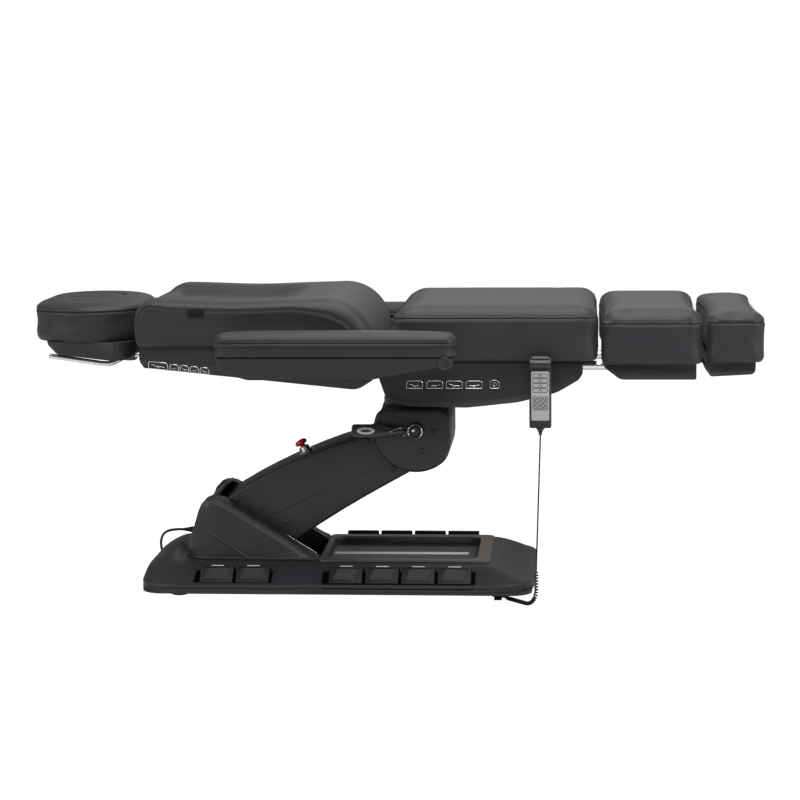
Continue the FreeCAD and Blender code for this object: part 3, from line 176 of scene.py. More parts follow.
def moulded(dark, light, rough, grain_scale=700.0, depth=0.00008, shine=0.45):
    """Dark moulded plastic with a fine spark-eroded grain."""
    def paint(sheet):
        spot = place(sheet)
        grain = noise(sheet, spot, grain_scale, 2.0)
        cloud = noise(sheet, spot, 6.0)
        shade = tint(sheet, cloud * 0.7 + sharp_edge_lightening(sheet) * 0.3, dark, light)
        return {"Base Color": shade, "Roughness": rough + 0.10 * grain + 0.06 * cloud,
                "Normal": bump(sheet, grain, depth, 0.5), "Specular IOR Level": shine}
    return paint


def plated(colour, rough):
    """Bright plated metal with faint polishing marks."""
    def paint(sheet):
        marks = noise(sheet, place(sheet, (40.0, 900.0, 900.0)), 1.0)
        cloud = noise(sheet, place(sheet), 12.0)
        shade = tint(sheet, cloud, tuple(0.9 * c for c in colour), colour)
        return {"Base Color": shade, "Metallic": 1.0, "Roughness": rough + 0.06 * marks + 0.04 * cloud}
    return paint


def brushed(dark, light, rough):
    """Metal sheet brushed along its length."""
    def paint(sheet):
        strokes = noise(sheet, place(sheet, (6.0, 900.0, 900.0)), 1.0, 4.0)
        cloud = noise(sheet, place(sheet), 8.0)
        shade = tint(sheet, strokes * 0.7 + cloud * 0.3, dark, light)
        return {"Base Color": shade, "Metallic": 0.75, "Roughness": rough + 0.15 * strokes,
                "Normal": bump(sheet, strokes, 0.00005, 0.4)}
    return paint


def painted_steel(dark, light):
    def paint(sheet):
        spot = place(sheet)
        peel = noise(sheet, spot, 220.0, 2.0)
        shade = tint(sheet, noise(sheet, spot, 14.0), dark, light)
        return {"Base Color": shade, "Metallic": 0.25, "Roughness": 0.38 + 0.12 * peel,
                "Normal": bump(sheet, peel, 0.00006, 0.4)}
    return paint


def gloss_plastic(dark, light, rough):
    """Smooth coloured plastic with a light clear skin."""
    def paint(sheet):
        spot = place(sheet)
        cloud = noise(sheet, spot, 30.0)
        shade = tint(sheet, cloud * 0.8 + sharp_edge_lightening(sheet) * 0.2, dark, light)
        return {"Base Color": shade, "Roughness": rough + 0.08 * noise(sheet, spot, 400.0),
                "Coat Weight": 0.25, "Coat Roughness": 0.15}
    return paint


def rubber(dark, light):
    def paint(sheet):
        spot = place(sheet)
        dust = noise(sheet, spot, 60.0)
        skin = noise(sheet, spot, 1500.0, 2.0)
        return {"Base Color": tint(sheet, dust, dark, light), "Roughness": 0.55 + 0.15 * dust,
                "Normal": bump(sheet, skin, 0.00004, 0.4), "Specular IOR Level": 0.25}
    return paint


upholstery = finish("charcoal_leatherette", leatherette)
# Near-black thread: real for the stitches and the tag; on the cushion and headrest piping it is painted shade
# along the seam groove
thread_and_seam_shade = finish("dark_thread_and_seam_shade", rubber((0.0015, 0.0015, 0.0016), (0.0040, 0.0040, 0.0044)))
shell_plastic = finish("shell_plastic", moulded((0.0120, 0.0116, 0.0145), (0.0220, 0.0215, 0.0265), 0.42))
base_plastic = finish("base_plastic", moulded((0.0165, 0.0160, 0.0195), (0.0300, 0.0295, 0.0350), 0.38,
                                              grain_scale=520.0, depth=0.00012))
dark_steel = finish("dark_steel", painted_steel((0.018, 0.018, 0.020), (0.034, 0.034, 0.036)))
chrome = finish("chrome", plated((0.83, 0.83, 0.85), 0.07))
stop_red = finish("stop_red", gloss_plastic((0.56, 0.015, 0.012), (0.72, 0.035, 0.025), 0.32))
pedal_plastic = finish("pedal_plastic", moulded((0.0030, 0.0030, 0.0034), (0.0080, 0.0080, 0.0090), 0.38,
                                                shine=0.35))
# Near-black, dull finish for the pedal wells: painted shade in the recesses, darker than the pedal plastic
# they are made of
well_painted_shade = finish("well_painted_shade", moulded((0.0010, 0.0010, 0.0010), (0.0025, 0.0025, 0.0025), 0.60,
                                          shine=0.12))
trim_bronze = finish("trim_bronze", brushed((0.110, 0.094, 0.080), (0.205, 0.180, 0.155), 0.38))
handset_plastic = finish("handset_plastic", gloss_plastic((0.006, 0.006, 0.007), (0.013, 0.013, 0.014), 0.36))
keypad_silver = finish("keypad_silver", brushed((0.42, 0.42, 0.43), (0.58, 0.58, 0.59), 0.42))
key_line = finish("key_line", gloss_plastic((0.006, 0.012, 0.015), (0.012, 0.022, 0.026), 0.45))
mark_white = finish("mark_white", gloss_plastic((0.72, 0.72, 0.73), (0.84, 0.84, 0.85), 0.40))
cord_rubber = finish("cord_rubber", rubber((0.004, 0.004, 0.004), (0.010, 0.010, 0.011)))
motor_paint = finish("motor_paint", painted_steel((0.045, 0.047, 0.052), (0.075, 0.078, 0.085)))
foot_rubber = finish("foot_rubber", rubber((0.012, 0.012, 0.012), (0.026, 0.026, 0.026)))

slot_finish = {"upholstery": upholstery, "shell_plastic": shell_plastic, "base_plastic": base_plastic,
               "dark_steel": dark_steel, "chrome_steel": chrome, "stop_red": stop_red,
               "pedal_plastic": pedal_plastic, "trim_bronze": trim_bronze, "handset_plastic": handset_plastic,
               "cord_rubber": cord_rubber, "motor_paint": motor_paint, "foot_rubber": foot_rubber}
finish_slot = {material.name: slot for slot, material in slot_finish.items()}
finish_slot.update({"dark_thread_and_seam_shade": "upholstery", "well_painted_shade": "pedal_plastic",
                    "keypad_silver": "handset_plastic", "key_line": "handset_plastic",
                    "mark_white": "handset_plastic"})


# Mesh kit; sharp angles are in degrees
sharp_turn = 35.0
all_smooth = 180.0
strand_sharp = 60.0
weld_gap = 1e-6
tiny = 1e-9
both_sides = (("near", -1.0), ("far", 1.0))


def placed(name, data):
    """New object in the scene for a mesh, curve, lamp or camera."""
    made = bpy.data.objects.new(name, data)
    bpy.context.scene.collection.objects.link(made)
    return made


def bare(name, points, faces, sharp=sharp_turn):
    """Closed mesh that only cuts, or that is dressed later."""
    mesh = bpy.data.meshes.new(name)
    mesh.from_pydata([tuple(p) for p in points], [], faces)
    made = placed(name, mesh)
    settle(made, sharp)
    return made


def piece(name, body, points, faces, material, sharp=sharp_turn):
    """Closed mesh riding on a body, smooth but for its sharp edges."""
    return dress(bare(name, points, faces, sharp), body, material)


def settle(made, sharp):
    """Outward faces, smooth shading and sharp edges."""
    work = bmesh.new()
    work.from_mesh(made.data)
    bmesh.ops.remove_doubles(work, verts=work.verts, dist=weld_gap)
    bmesh.ops.recalc_face_normals(work, faces=work.faces)
    work.to_mesh(made.data)
    work.free()
    made.data.polygons.foreach_set("use_smooth", [True] * len(made.data.polygons))
    made.data.set_sharp_from_angle(angle=math.radians(sharp))


def dress(made, body, material):
    made.data.materials.clear()
    made.data.materials.append(material)
    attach(made, body)
    return made


def bands(rings, caps=True):
    """Points and faces of a skin over closed rings of equal count."""
    count = len(rings[0])
    points = [p for ring in rings for p in ring]
    faces = []
    for r in range(len(rings) - 1):
        for i in range(count):
            j = (i + 1) % count
            faces.append((r * count + i, r * count + j, (r + 1) * count + j, (r + 1) * count + i))
    if caps:
        last = (len(rings) - 1) * count
        faces.append(tuple(reversed(range(count))))
        faces.append(tuple(last + i for i in range(count)))
    return points, faces


def filleted(corners, radius, steps=5):
    """Closed outline with each corner rounded as far as its sides allow."""
    spots = [Vector(c) for c in corners]
    radii = radius if isinstance(radius, (list, tuple)) else [radius] * len(spots)
    outline = []
    for i, corner in enumerate(spots):
        to_last = spots[i - 1] - corner
        to_next = spots[(i + 1) % len(spots)] - corner
        half = to_last.angle(to_next) / 2
        reach = min(radii[i] / math.tan(half), 0.48 * to_last.length, 0.48 * to_next.length)
        start = corner + to_last.normalized() * reach
        end = corner + to_next.normalized() * reach
        for k in range(steps + 1):
            t = k / steps
            outline.append(start * (1 - t) ** 2 + corner * (2 * t * (1 - t)) + end * t ** 2)
    return outline


def drawn_in(outline, inset):
    """Outline moved inward by inset along its own normals."""
    count = len(outline)
    area = sum(outline[i].x * outline[(i + 1) % count].y - outline[(i + 1) % count].x * outline[i].y
               for i in range(count))
    turn = 1.0 if area > 0 else -1.0
    moved = []
    for i in range(count):
        along = outline[(i + 1) % count] - outline[i - 1]
        if along.length < tiny:
            moved.append(outline[i].copy())
            continue
        along.normalize()
        moved.append(outline[i] + Vector((-along.y, along.x)) * (inset * turn))
    return moved


def mirrored(rows):
    """Rows of (y, rest), outermost first, on the near side and then in reverse on the far side."""
    return [(-y, rest) for y, rest in rows] + [(y, rest) for y, rest in reversed(rows)]


def slab(name, body, outline, stations, material, upright=None, sharp=sharp_turn):
    """Side outline of (x, z) carried across the width, drawn in by each station's inset.

    upright, if given, turns each (x, y, z) into its place."""
    rings = []
    for y, inset in stations:
        ring = [Vector((p.x, y, p.y)) for p in drawn_in(outline, inset)]
        rings.append([upright(p) for p in ring] if upright else ring)
    return piece(name, body, *bands(rings), material, sharp)


def edge_stations(y0, y1, ease, steps=3):
    """Stations from y0 to y1 whose ends are rounded by ease."""
    near = []
    for k in range(steps, -1, -1):
        angle = k * math.pi / 2 / steps
        near.append((y0 + ease * (1 - math.sin(angle)), ease * (1 - math.cos(angle))))
    far = [(y0 + y1 - y, inset) for y, inset in reversed(near)]
    return near + far


def turned(name, body, profile, origin, axis, material, steps=40, sharp=sharp_turn):
    """Round piece: profile of (radius, height) about an axis."""
    turn = Vector((0, 0, 1)).rotation_difference(Vector(axis)).to_matrix()
    rings = []
    for radius, height in profile:
        ring = []
        for i in range(steps):
            angle = 2 * math.pi * i / steps
            spot = Vector((radius * math.cos(angle), radius * math.sin(angle), height))
            ring.append(Vector(origin) + turn @ spot)
        rings.append(ring)
    return piece(name, body, *bands(rings), material, sharp)


def round_line(name, kind, spots, radius):
    """Curve of one spline on spots, with a round section; gives the curve and the spline."""
    curve = bpy.data.curves.new(name, "CURVE")
    curve.dimensions = "3D"
    line = curve.splines.new(kind)
    line.points.add(len(spots) - 1)
    for point, spot in zip(line.points, spots):
        point.co = (*spot, 1.0)
    curve.bevel_depth = radius
    return curve, line


def worked_out(made):
    """Mesh of a curve, or of a piece with its modifiers."""
    bpy.context.view_layer.update()
    graph = bpy.context.evaluated_depsgraph_get()
    return bpy.data.meshes.new_from_object(made.evaluated_get(graph))


def strand(name, body, spots, radius, material, closed=False, sides=8):
    """Round strand along spots, as a mesh."""
    curve, line = round_line(name, "POLY", spots, radius)
    line.use_cyclic_u = closed
    curve.bevel_resolution = max(0, sides // 4 - 1)
    curve.use_fill_caps = not closed
    carrier = placed(name + "_line", curve)
    mesh = worked_out(carrier)
    bpy.data.objects.remove(carrier)
    made = placed(name, mesh)
    settle(made, strand_sharp)
    return dress(made, body, material)


def merged(name, parts):
    """Several meshes of one body as one piece, each keeping its finish."""
    first = parts[0]
    if len(parts) > 1:
        with bpy.context.temp_override(active_object=first, selected_editable_objects=parts):
            bpy.ops.object.join()
    first.name = name
    first.data.name = name
    return first


def carve(made, cutters, body, material, sharp):
    """Cuts the cutters out of a piece, removes them and dresses what is left."""
    for tool in cutters:
        cut = made.modifiers.new("cut", "BOOLEAN")
        cut.operation = "DIFFERENCE"
        cut.solver = "EXACT"
        cut.object = tool
    mesh = worked_out(made)
    made.modifiers.clear()
    made.data = mesh
    for tool in cutters:
        bpy.data.objects.remove(tool)
    settle(made, sharp)
    return dress(made, body, material)


# Cords
def smooth_cord(name, route, diameter, material):
    """Cord as one smooth spline on its route's points."""
    curve, line = round_line(name, "NURBS", route, diameter / 2)
    line.order_u = 3
    line.use_endpoint_u = True
    line.resolution_u = 6
    curve.bevel_resolution = 4
    curve.use_fill_caps = True
    made = placed(name, curve)
    curve.materials.append(material)
    return made


gland_tip = (-0.595, 0.030, 0.135)
mains_floor = mains_diameter / 2 + 0.001
coil_x = -0.540
coil_y = 0.385
coil_pitch = 0.0089
coil_inner = 0.030
coil_turns = 2
coil_layers = 4
coil_tail = 0.056
coil_outer = coil_inner + coil_pitch * coil_turns
coil_start = coil_x - coil_outer
coil_top_z = mains_diameter / 2 + 0.0003 + coil_pitch * (coil_layers - 1)
mains_route = [
    gland_tip, (-0.623, 0.034, 0.135), (-0.653, 0.052, 0.122), (-0.672, 0.100, 0.092),
    (-0.679, 0.148, 0.052), (-0.674, 0.196, 0.018), (-0.660, 0.240, mains_floor),
    (-0.638, 0.280, mains_floor), (-0.615, 0.312, 0.012), (coil_start - 0.010, 0.336, 0.025),
    (coil_start, coil_y - 0.019, coil_top_z)]


def coil_route():
    """Turns that spiral in and out again, with half a turn down to each next layer."""
    spots_per_turn = 16
    radius = coil_outer
    sunk = 0.0
    stations = []
    for layer in range(coil_layers):
        step = (coil_pitch if layer % 2 else -coil_pitch) / spots_per_turn
        for _ in range(spots_per_turn * coil_turns):
            radius += step
            stations.append((radius, sunk))
        if layer < coil_layers - 1:
            half = spots_per_turn // 2
            stations += [(radius, sunk + (k + 1) / half) for k in range(half)]
            sunk += 1
    start = math.pi - mains_diameter / coil_outer
    spots = [(coil_start, coil_y, coil_top_z), (coil_start, coil_y + mains_diameter, coil_top_z)]
    turn = 2 * math.pi / spots_per_turn
    for i, (radius, sunk) in enumerate(stations):
        angle = start - turn * (i + 1)
        spots.append((coil_x + radius * math.cos(angle), coil_y + radius * math.sin(angle),
                      coil_top_z - coil_pitch * sunk))
    last = start - turn * len(stations)
    end = Vector(spots[-1]) + Vector((math.sin(last), -math.cos(last), 0)) * coil_tail
    return spots + [tuple(end)]


def mains_lead():
    lead = smooth_cord("mains_lead", mains_route + coil_route(), mains_diameter, cord_rubber)
    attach(lead, "base")
    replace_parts(lead, "mains_cord", "mains_coil")


cord_top = (0.389, -0.349, 0.455)
curl_top = (0.378, -0.335, 0.111)
curl_end = (0.292, -0.232)
curl_floor = 0.010
curl_bend = 0.044
curl_gap = 0.0005
curl_straight = 0.005
curl_ease = 1.5 * curl_pitch
spots_per_curl = 12


def curl_route():
    """Helix down beside the base, round a bend and along the floor to its socket."""
    run_x = curl_end[0] - curl_top[0]
    run_y = curl_end[1] - curl_top[1]
    run = math.hypot(run_x, run_y)
    drop = curl_top[2] - curl_gap - curl_floor - curl_bend
    bend = curl_bend * math.pi / 2
    total = drop + bend + run - curl_bend
    loop = (curl_diameter - cord_diameter) / 2
    steps = int(total / curl_pitch * spots_per_curl)
    spots = []
    for i in range(steps + 1):
        s = total * i / steps
        turn = min(max((s - drop) / curl_bend, 0.0), math.pi / 2)
        out = curl_bend * (1 - math.cos(turn)) + max(s - drop - bend, 0.0)
        height = curl_floor + curl_bend * (1 - math.sin(turn)) + max(drop - s, 0.0)
        ramp = min(1.0, max(0.0, min(s, total - s) - curl_straight) / curl_ease)
        spin = 2 * math.pi * s / curl_pitch
        up = loop * ramp * math.cos(spin)
        aside = loop * ramp * math.sin(spin)
        out += up * math.cos(turn)
        height += up * math.sin(turn)
        spots.append((curl_top[0] + (run_x * out - run_y * aside) / run,
                      curl_top[1] + (run_y * out + run_x * aside) / run, height))
    return spots


def handset_leads():
    straight = smooth_cord("handset_lead", [cord_top, curl_top], cord_diameter, cord_rubber)
    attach(straight, "handset")
    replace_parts(straight, "handset_cord")
    curl = smooth_cord("handset_curl_lead", curl_route(), cord_diameter, cord_rubber)
    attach(curl, "base")
    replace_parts(curl, "handset_curl")


mains_lead()
handset_leads()


# Cushions
seam_groove = 0.0032
piping_radius = 0.0018
stitch_length = 0.0046
stitch_pitch = 0.0075
stitch_radius = 0.0006
stitch_sides = 6
stitch_inset = 0.006
gather_deep = 0.0009
fold_deep = 0.0007
fold_fade = 0.030
welt_rise = 0.0006
least_corner = 0.012
foot_inset = 0.008
cover_growth = 0.004
cloth_frames = 20
gather_rate = 3.0
lean_start = 0.684
lean_slope = 0.55


def eased_row(count):
    """Spots from -1 to 1, closer together near both ends."""
    return np.sin(np.linspace(-1.0, 1.0, count) * math.pi / 2)


def rounded_plan(u, v, half_x, half_y, corner):
    """Square grid (u, v) laid on a rectangle with round corners."""
    x = np.abs(u) * half_x
    y = np.abs(v) * half_y
    over_x = np.clip((x - (half_x - corner)) / corner, 0, 1)
    over_y = np.clip((y - (half_y - corner)) / corner, 0, 1)
    x = x - over_x * corner + corner * over_x * np.sqrt(1 - over_y ** 2 / 2)
    y = y - over_y * corner + corner * over_y * np.sqrt(1 - over_x ** 2 / 2)
    return np.sign(u) * x, np.sign(v) * y


def grid_rim(rows, columns):
    """Indices round the edge of a grid, in order."""
    near = [(i, 0) for i in range(rows)]
    right = [(rows - 1, j) for j in range(1, columns)]
    far = [(i, columns - 1) for i in range(rows - 2, -1, -1)]
    left = [(0, j) for j in range(columns - 2, 0, -1)]
    return [i * columns + j for i, j in near + right + far + left]


def grid_quads(rows, columns, first=0, flip=False):
    quads = []
    for i in range(rows - 1):
        for j in range(columns - 1):
            a = first + i * columns + j
            quad = (a, a + columns, a + columns + 1, a + 1)
            quads.append(quad[::-1] if flip else quad)
    return quads


def puckers(along, seed):
    """Small gathers along a seam, from a few waves that never line up."""
    waves = [(41.0, 1.0), (67.0, 0.7), (109.0, 0.5), (173.0, 0.35)]
    largest = 2.5
    total = sum(size * np.sin(along * rate + seed * (k + 1.7)) for k, (rate, size) in enumerate(waves))
    return total / largest


def loop_quads(upper, lower):
    """Quads between two closed loops of indices."""
    count = len(upper)
    return [(upper[k], lower[k], lower[(k + 1) % count], upper[(k + 1) % count]) for k in range(count)]


def plump(made, held, pressure):
    """Lets the filling push the cover out between its seams, by cloth simulation."""
    scene = bpy.context.scene
    group = made.vertex_groups.new(name="held")
    group.add(held, 1.0, "REPLACE")
    cover = made.modifiers.new("cover", "CLOTH")
    cover.settings.quality = 6
    cover.settings.mass = 0.4
    cover.settings.tension_stiffness = 60.0
    cover.settings.compression_stiffness = 60.0
    cover.settings.bending_stiffness = 4.0
    cover.settings.use_pressure = True
    cover.settings.uniform_pressure_force = pressure
    cover.settings.effector_weights.gravity = 0.0
    cover.settings.vertex_group_mass = "held"
    cover.point_cache.frame_end = cloth_frames
    for tick in range(1, cloth_frames + 1):
        scene.frame_set(tick)
    graph = bpy.context.evaluated_depsgraph_get()
    pushed = made.evaluated_get(graph).to_mesh()
    count = len(made.data.vertices)
    rest = np.empty(count * 3)
    grown = np.empty(count * 3)
    made.data.vertices.foreach_get("co", rest)
    pushed.vertices.foreach_get("co", grown)
    move = (grown - rest).reshape(-1, 3)
    length = np.linalg.norm(move, axis=1, keepdims=True)
    move *= np.minimum(1.0, cover_growth / np.maximum(length, tiny))
    made.evaluated_get(graph).to_mesh_clear()
    made.modifiers.remove(cover)
    made.vertex_groups.remove(group)
    made.data.vertices.foreach_set("co", (rest.reshape(-1, 3) + move).ravel())
    made.data.update()
    scene.frame_set(1)


def stitches(name, body, spots, lift, closed=True):
    """Row of short threads along spots, each lifted off the cover by its normal."""
    line = np.array(spots)
    if closed:
        line = np.vstack([line, line[:1]])
    gaps = np.linalg.norm(np.diff(line, axis=0), axis=1)
    run = np.concatenate([[0.0], np.cumsum(gaps)])
    rises = np.array(lift if not closed else list(lift) + [lift[0]])
    count = int(run[-1] / stitch_pitch)
    points = []
    faces = []
    for k in range(count):
        middle = (k + 0.5) * run[-1] / count
        ends = [middle - stitch_length / 2, middle + stitch_length / 2]
        a, b = (np.array([np.interp(s, run, line[:, c]) for c in range(3)]) for s in ends)
        up = np.array([np.interp(middle, run, rises[:, c]) for c in range(3)])
        up /= max(np.linalg.norm(up), tiny)
        side = np.cross(b - a, up)
        side /= max(np.linalg.norm(side), tiny)
        first = len(points)
        waist = (a + b) / 2 + up * stitch_radius * 0.6
        points += [a - up * stitch_radius, b - up * stitch_radius]
        for s in range(stitch_sides):
            angle = 2 * math.pi * s / stitch_sides
            points.append(waist + (side * math.cos(angle) + up * math.sin(angle)) * stitch_radius)
        for s in range(stitch_sides):
            here = first + 2 + s
            after = first + 2 + (s + 1) % stitch_sides
            faces += [(first, after, here), (first + 1, here, after)]
    return piece(name, body, points, faces, thread_and_seam_shade, 80.0)


def cushion(name, node, seam, corner, roll, pull=(0.006, 0.003), swell=0.004, lean=None, seed=1.0,
            counts=(41, 45), pressure=3.0, squareness=2.6, reach=0.0):
    """Crowned cushion in its solid's box: side band up to a piped seam, then a top panel that rolls over.

    pull draws the ends and the sides in between the corners; lean shifts the head end with height."""
    body = frame["nodes"][node]["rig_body"]
    low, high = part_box(node)
    high = high + Vector((reach, 0.0, 0.0))
    middle = (low + high) / 2
    half = (high - low) / 2
    rows, columns = counts
    u, v = np.meshgrid(eased_row(rows), eased_row(columns), indexing="ij")

    def laid(u, v, z, inset):
        x, y = rounded_plan(u, v, half.x - inset, half.y - inset, max(corner - inset, least_corner))
        x = x - np.sign(u) * pull[0] * (1 - v ** 2) * np.abs(u) ** 3
        y = y - np.sign(v) * pull[1] * (1 - u ** 2) * np.abs(v) ** 3
        if lean:
            x = x + lean(z) * (1 - u) / 2
        return np.stack([x + middle.x, y + middle.y, z + 0 * x], axis=-1)

    def edge_share(u, v):
        """How far into the rolled edge a spot is, from 0 inside to 1 at the seam."""
        to_end = np.clip(1 - (1 - np.abs(u)) * half.x / roll, 0, 1)
        to_side = np.clip(1 - (1 - np.abs(v)) * half.y / roll, 0, 1)
        return np.clip((to_end ** 3 + to_side ** 3) ** (1 / 3), 0, 1)

    def panel_z(u, v):
        over = (1 - edge_share(u, v) ** squareness) ** (1 / squareness)
        return seam + (high.z - seam - swell) * over + swell * (1 - u ** 2) * (1 - v ** 2)

    def rim_phase(u, v):
        return u * half.x * gather_rate + v * half.y * gather_rate

    gather = gather_deep * edge_share(u, v) ** 4 * puckers(rim_phase(u, v), seed)
    rim = grid_rim(rows, columns)
    on_rim = np.zeros(rows * columns, bool)
    on_rim[rim] = True
    top = laid(u, v, panel_z(u, v) + gather, 0.0).reshape(-1, 3)
    drawn = laid(u, v, np.full_like(u, seam), seam_groove).reshape(-1, 3)
    top[on_rim] = drawn[on_rim]
    points = [top]
    faces = grid_quads(rows, columns)
    flat_u = u.ravel()[rim]
    flat_v = v.ravel()[rim]
    around = rim_phase(flat_u, flat_v)
    tall = seam - low.z
    bands_down = [(0.0035, 0.0002), (0.010, 0.0), (0.12 * tall, 0.0012), (0.3 * tall, 0.0030),
                  (0.5 * tall, 0.0038), (0.7 * tall, 0.0030), (0.86 * tall, 0.0012), (0.94 * tall, 0.0030)]
    last = rim
    first = rows * columns
    for drop, inset in bands_down:
        fold = fold_deep * math.exp(-drop / fold_fade) * puckers(around, seed + 2)
        ring = laid(flat_u, flat_v, np.full_like(flat_u, seam - drop), inset)
        out = ring - np.array([middle.x, middle.y, 0.0])
        out[:, 2] = 0.0
        ring += out / np.maximum(np.linalg.norm(out, axis=1, keepdims=True), tiny) * fold[:, None]
        points.append(ring)
        here = list(range(first, first + len(rim)))
        faces += loop_quads(last, here)
        last = here
        first += len(rim)
    base = laid(u, v, np.full_like(u, low.z), foot_inset).reshape(-1, 3)
    points.append(base)
    faces += grid_quads(rows, columns, first, True)
    faces += loop_quads(last, [first + k for k in rim])
    made = piece(name, body, np.vstack(points), faces, upholstery, all_smooth)
    plump(made, list(rim) + list(range(first, first + rows * columns)), pressure)
    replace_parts(made, node)
    welt = drawn[rim] + np.array([0.0, 0.0, welt_rise])
    # Piping in the near-black thread finish: painted shade along the seam groove
    strand(name + "_piping", body, welt, piping_radius, thread_and_seam_shade, closed=True)
    ring_u = np.sign(flat_u) * np.minimum(np.abs(flat_u), 1 - stitch_inset / half.x)
    ring_v = np.sign(flat_v) * np.minimum(np.abs(flat_v), 1 - stitch_inset / half.y)
    row = laid(ring_u, ring_v, panel_z(ring_u, ring_v), 0.0)
    out = row - np.array([middle.x, middle.y, seam - 0.02])
    stitches(name + "_stitching", body, row, out)


def seat_lean(z):
    """Head end of the seat leans away over the nose of the backrest."""
    return np.maximum(0.0, (z - lean_start) * lean_slope)


def bed_cushions():
    cushion("seat_pad", "seat_cushion", seam=0.748, corner=0.040, roll=0.060, pull=(0.003, 0.002),
            lean=seat_lean, seed=1.0, reach=0.006)
    cushion("leg_pad", "leg_cushion", seam=0.733, corner=0.038, roll=0.055, pull=(0.009, 0.002), seed=2.0)
    cushion("foot_pad", "foot_cushion", seam=0.736, corner=0.038, roll=0.050, pull=(0.011, 0.002), seed=3.0,
            counts=(33, 45))
    for side, _ in both_sides:
        cushion(side + "_arm_pad", side + "_armrest_pad", seam=0.699, corner=0.032, roll=0.026,
                pull=(0.0, 0.001), swell=0.002, seed=4.0, counts=(49, 21))


# Backrest: a cover swept along its side profile, with side panels
back_half = 0.310
back_bottom = 0.674
back_hinge = Vector((-0.160, 0.674))
nose_radius = 0.125
hollow_deep = 0.027
dip_deep = 0.006
dip_middle = -0.40
dip_reach = 0.13


def back_profile(count):
    """Spots and outward normals from the foot of the head end, over the top and round the nose."""
    low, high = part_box("back_cushion")
    crest = high.z - 0.002
    head = low.x + 0.003
    corner = 0.052
    spots = [(head + 0.010, back_bottom), (head, back_bottom + 0.016)]
    spots += [(head, z) for z in np.linspace(back_bottom + 0.030, crest - corner, 6)]
    for k in range(1, 10):
        angle = math.pi / 2 * k / 9
        spots.append((head + corner * (1 - math.cos(angle)), crest - corner * (1 - math.sin(angle))))
    spots += [(x, crest) for x in np.linspace(head + corner + 0.03, back_hinge.x - 0.06, 24)]
    tip = back_bottom + nose_radius
    spots.append((back_hinge.x - 0.02, crest + (tip - crest) * 0.4))
    for k in range(0, 25):
        angle = math.pi / 2 * (1 - k / 24)
        spots.append((back_hinge.x + nose_radius * math.cos(angle),
                      back_bottom + nose_radius * math.sin(angle)))
    line = np.array(spots)
    run = np.concatenate([[0.0], np.cumsum(np.linalg.norm(np.diff(line, axis=0), axis=1))])
    even = np.linspace(0.0, run[-1], count)
    line = np.stack([np.interp(even, run, line[:, 0]), np.interp(even, run, line[:, 1])], axis=1)
    for _ in range(2):
        line[1:-1] = (line[:-2] + 2 * line[1:-1] + line[2:]) / 4
    slope = np.gradient(line, axis=0)
    normal = np.stack([-slope[:, 1], slope[:, 0]], axis=1)
    normal /= np.linalg.norm(normal, axis=1, keepdims=True)
    return line, normal


def smooth_rise(value, low, high):
    t = np.clip((value - low) / (high - low), 0, 1)
    return t * t * (3 - 2 * t)


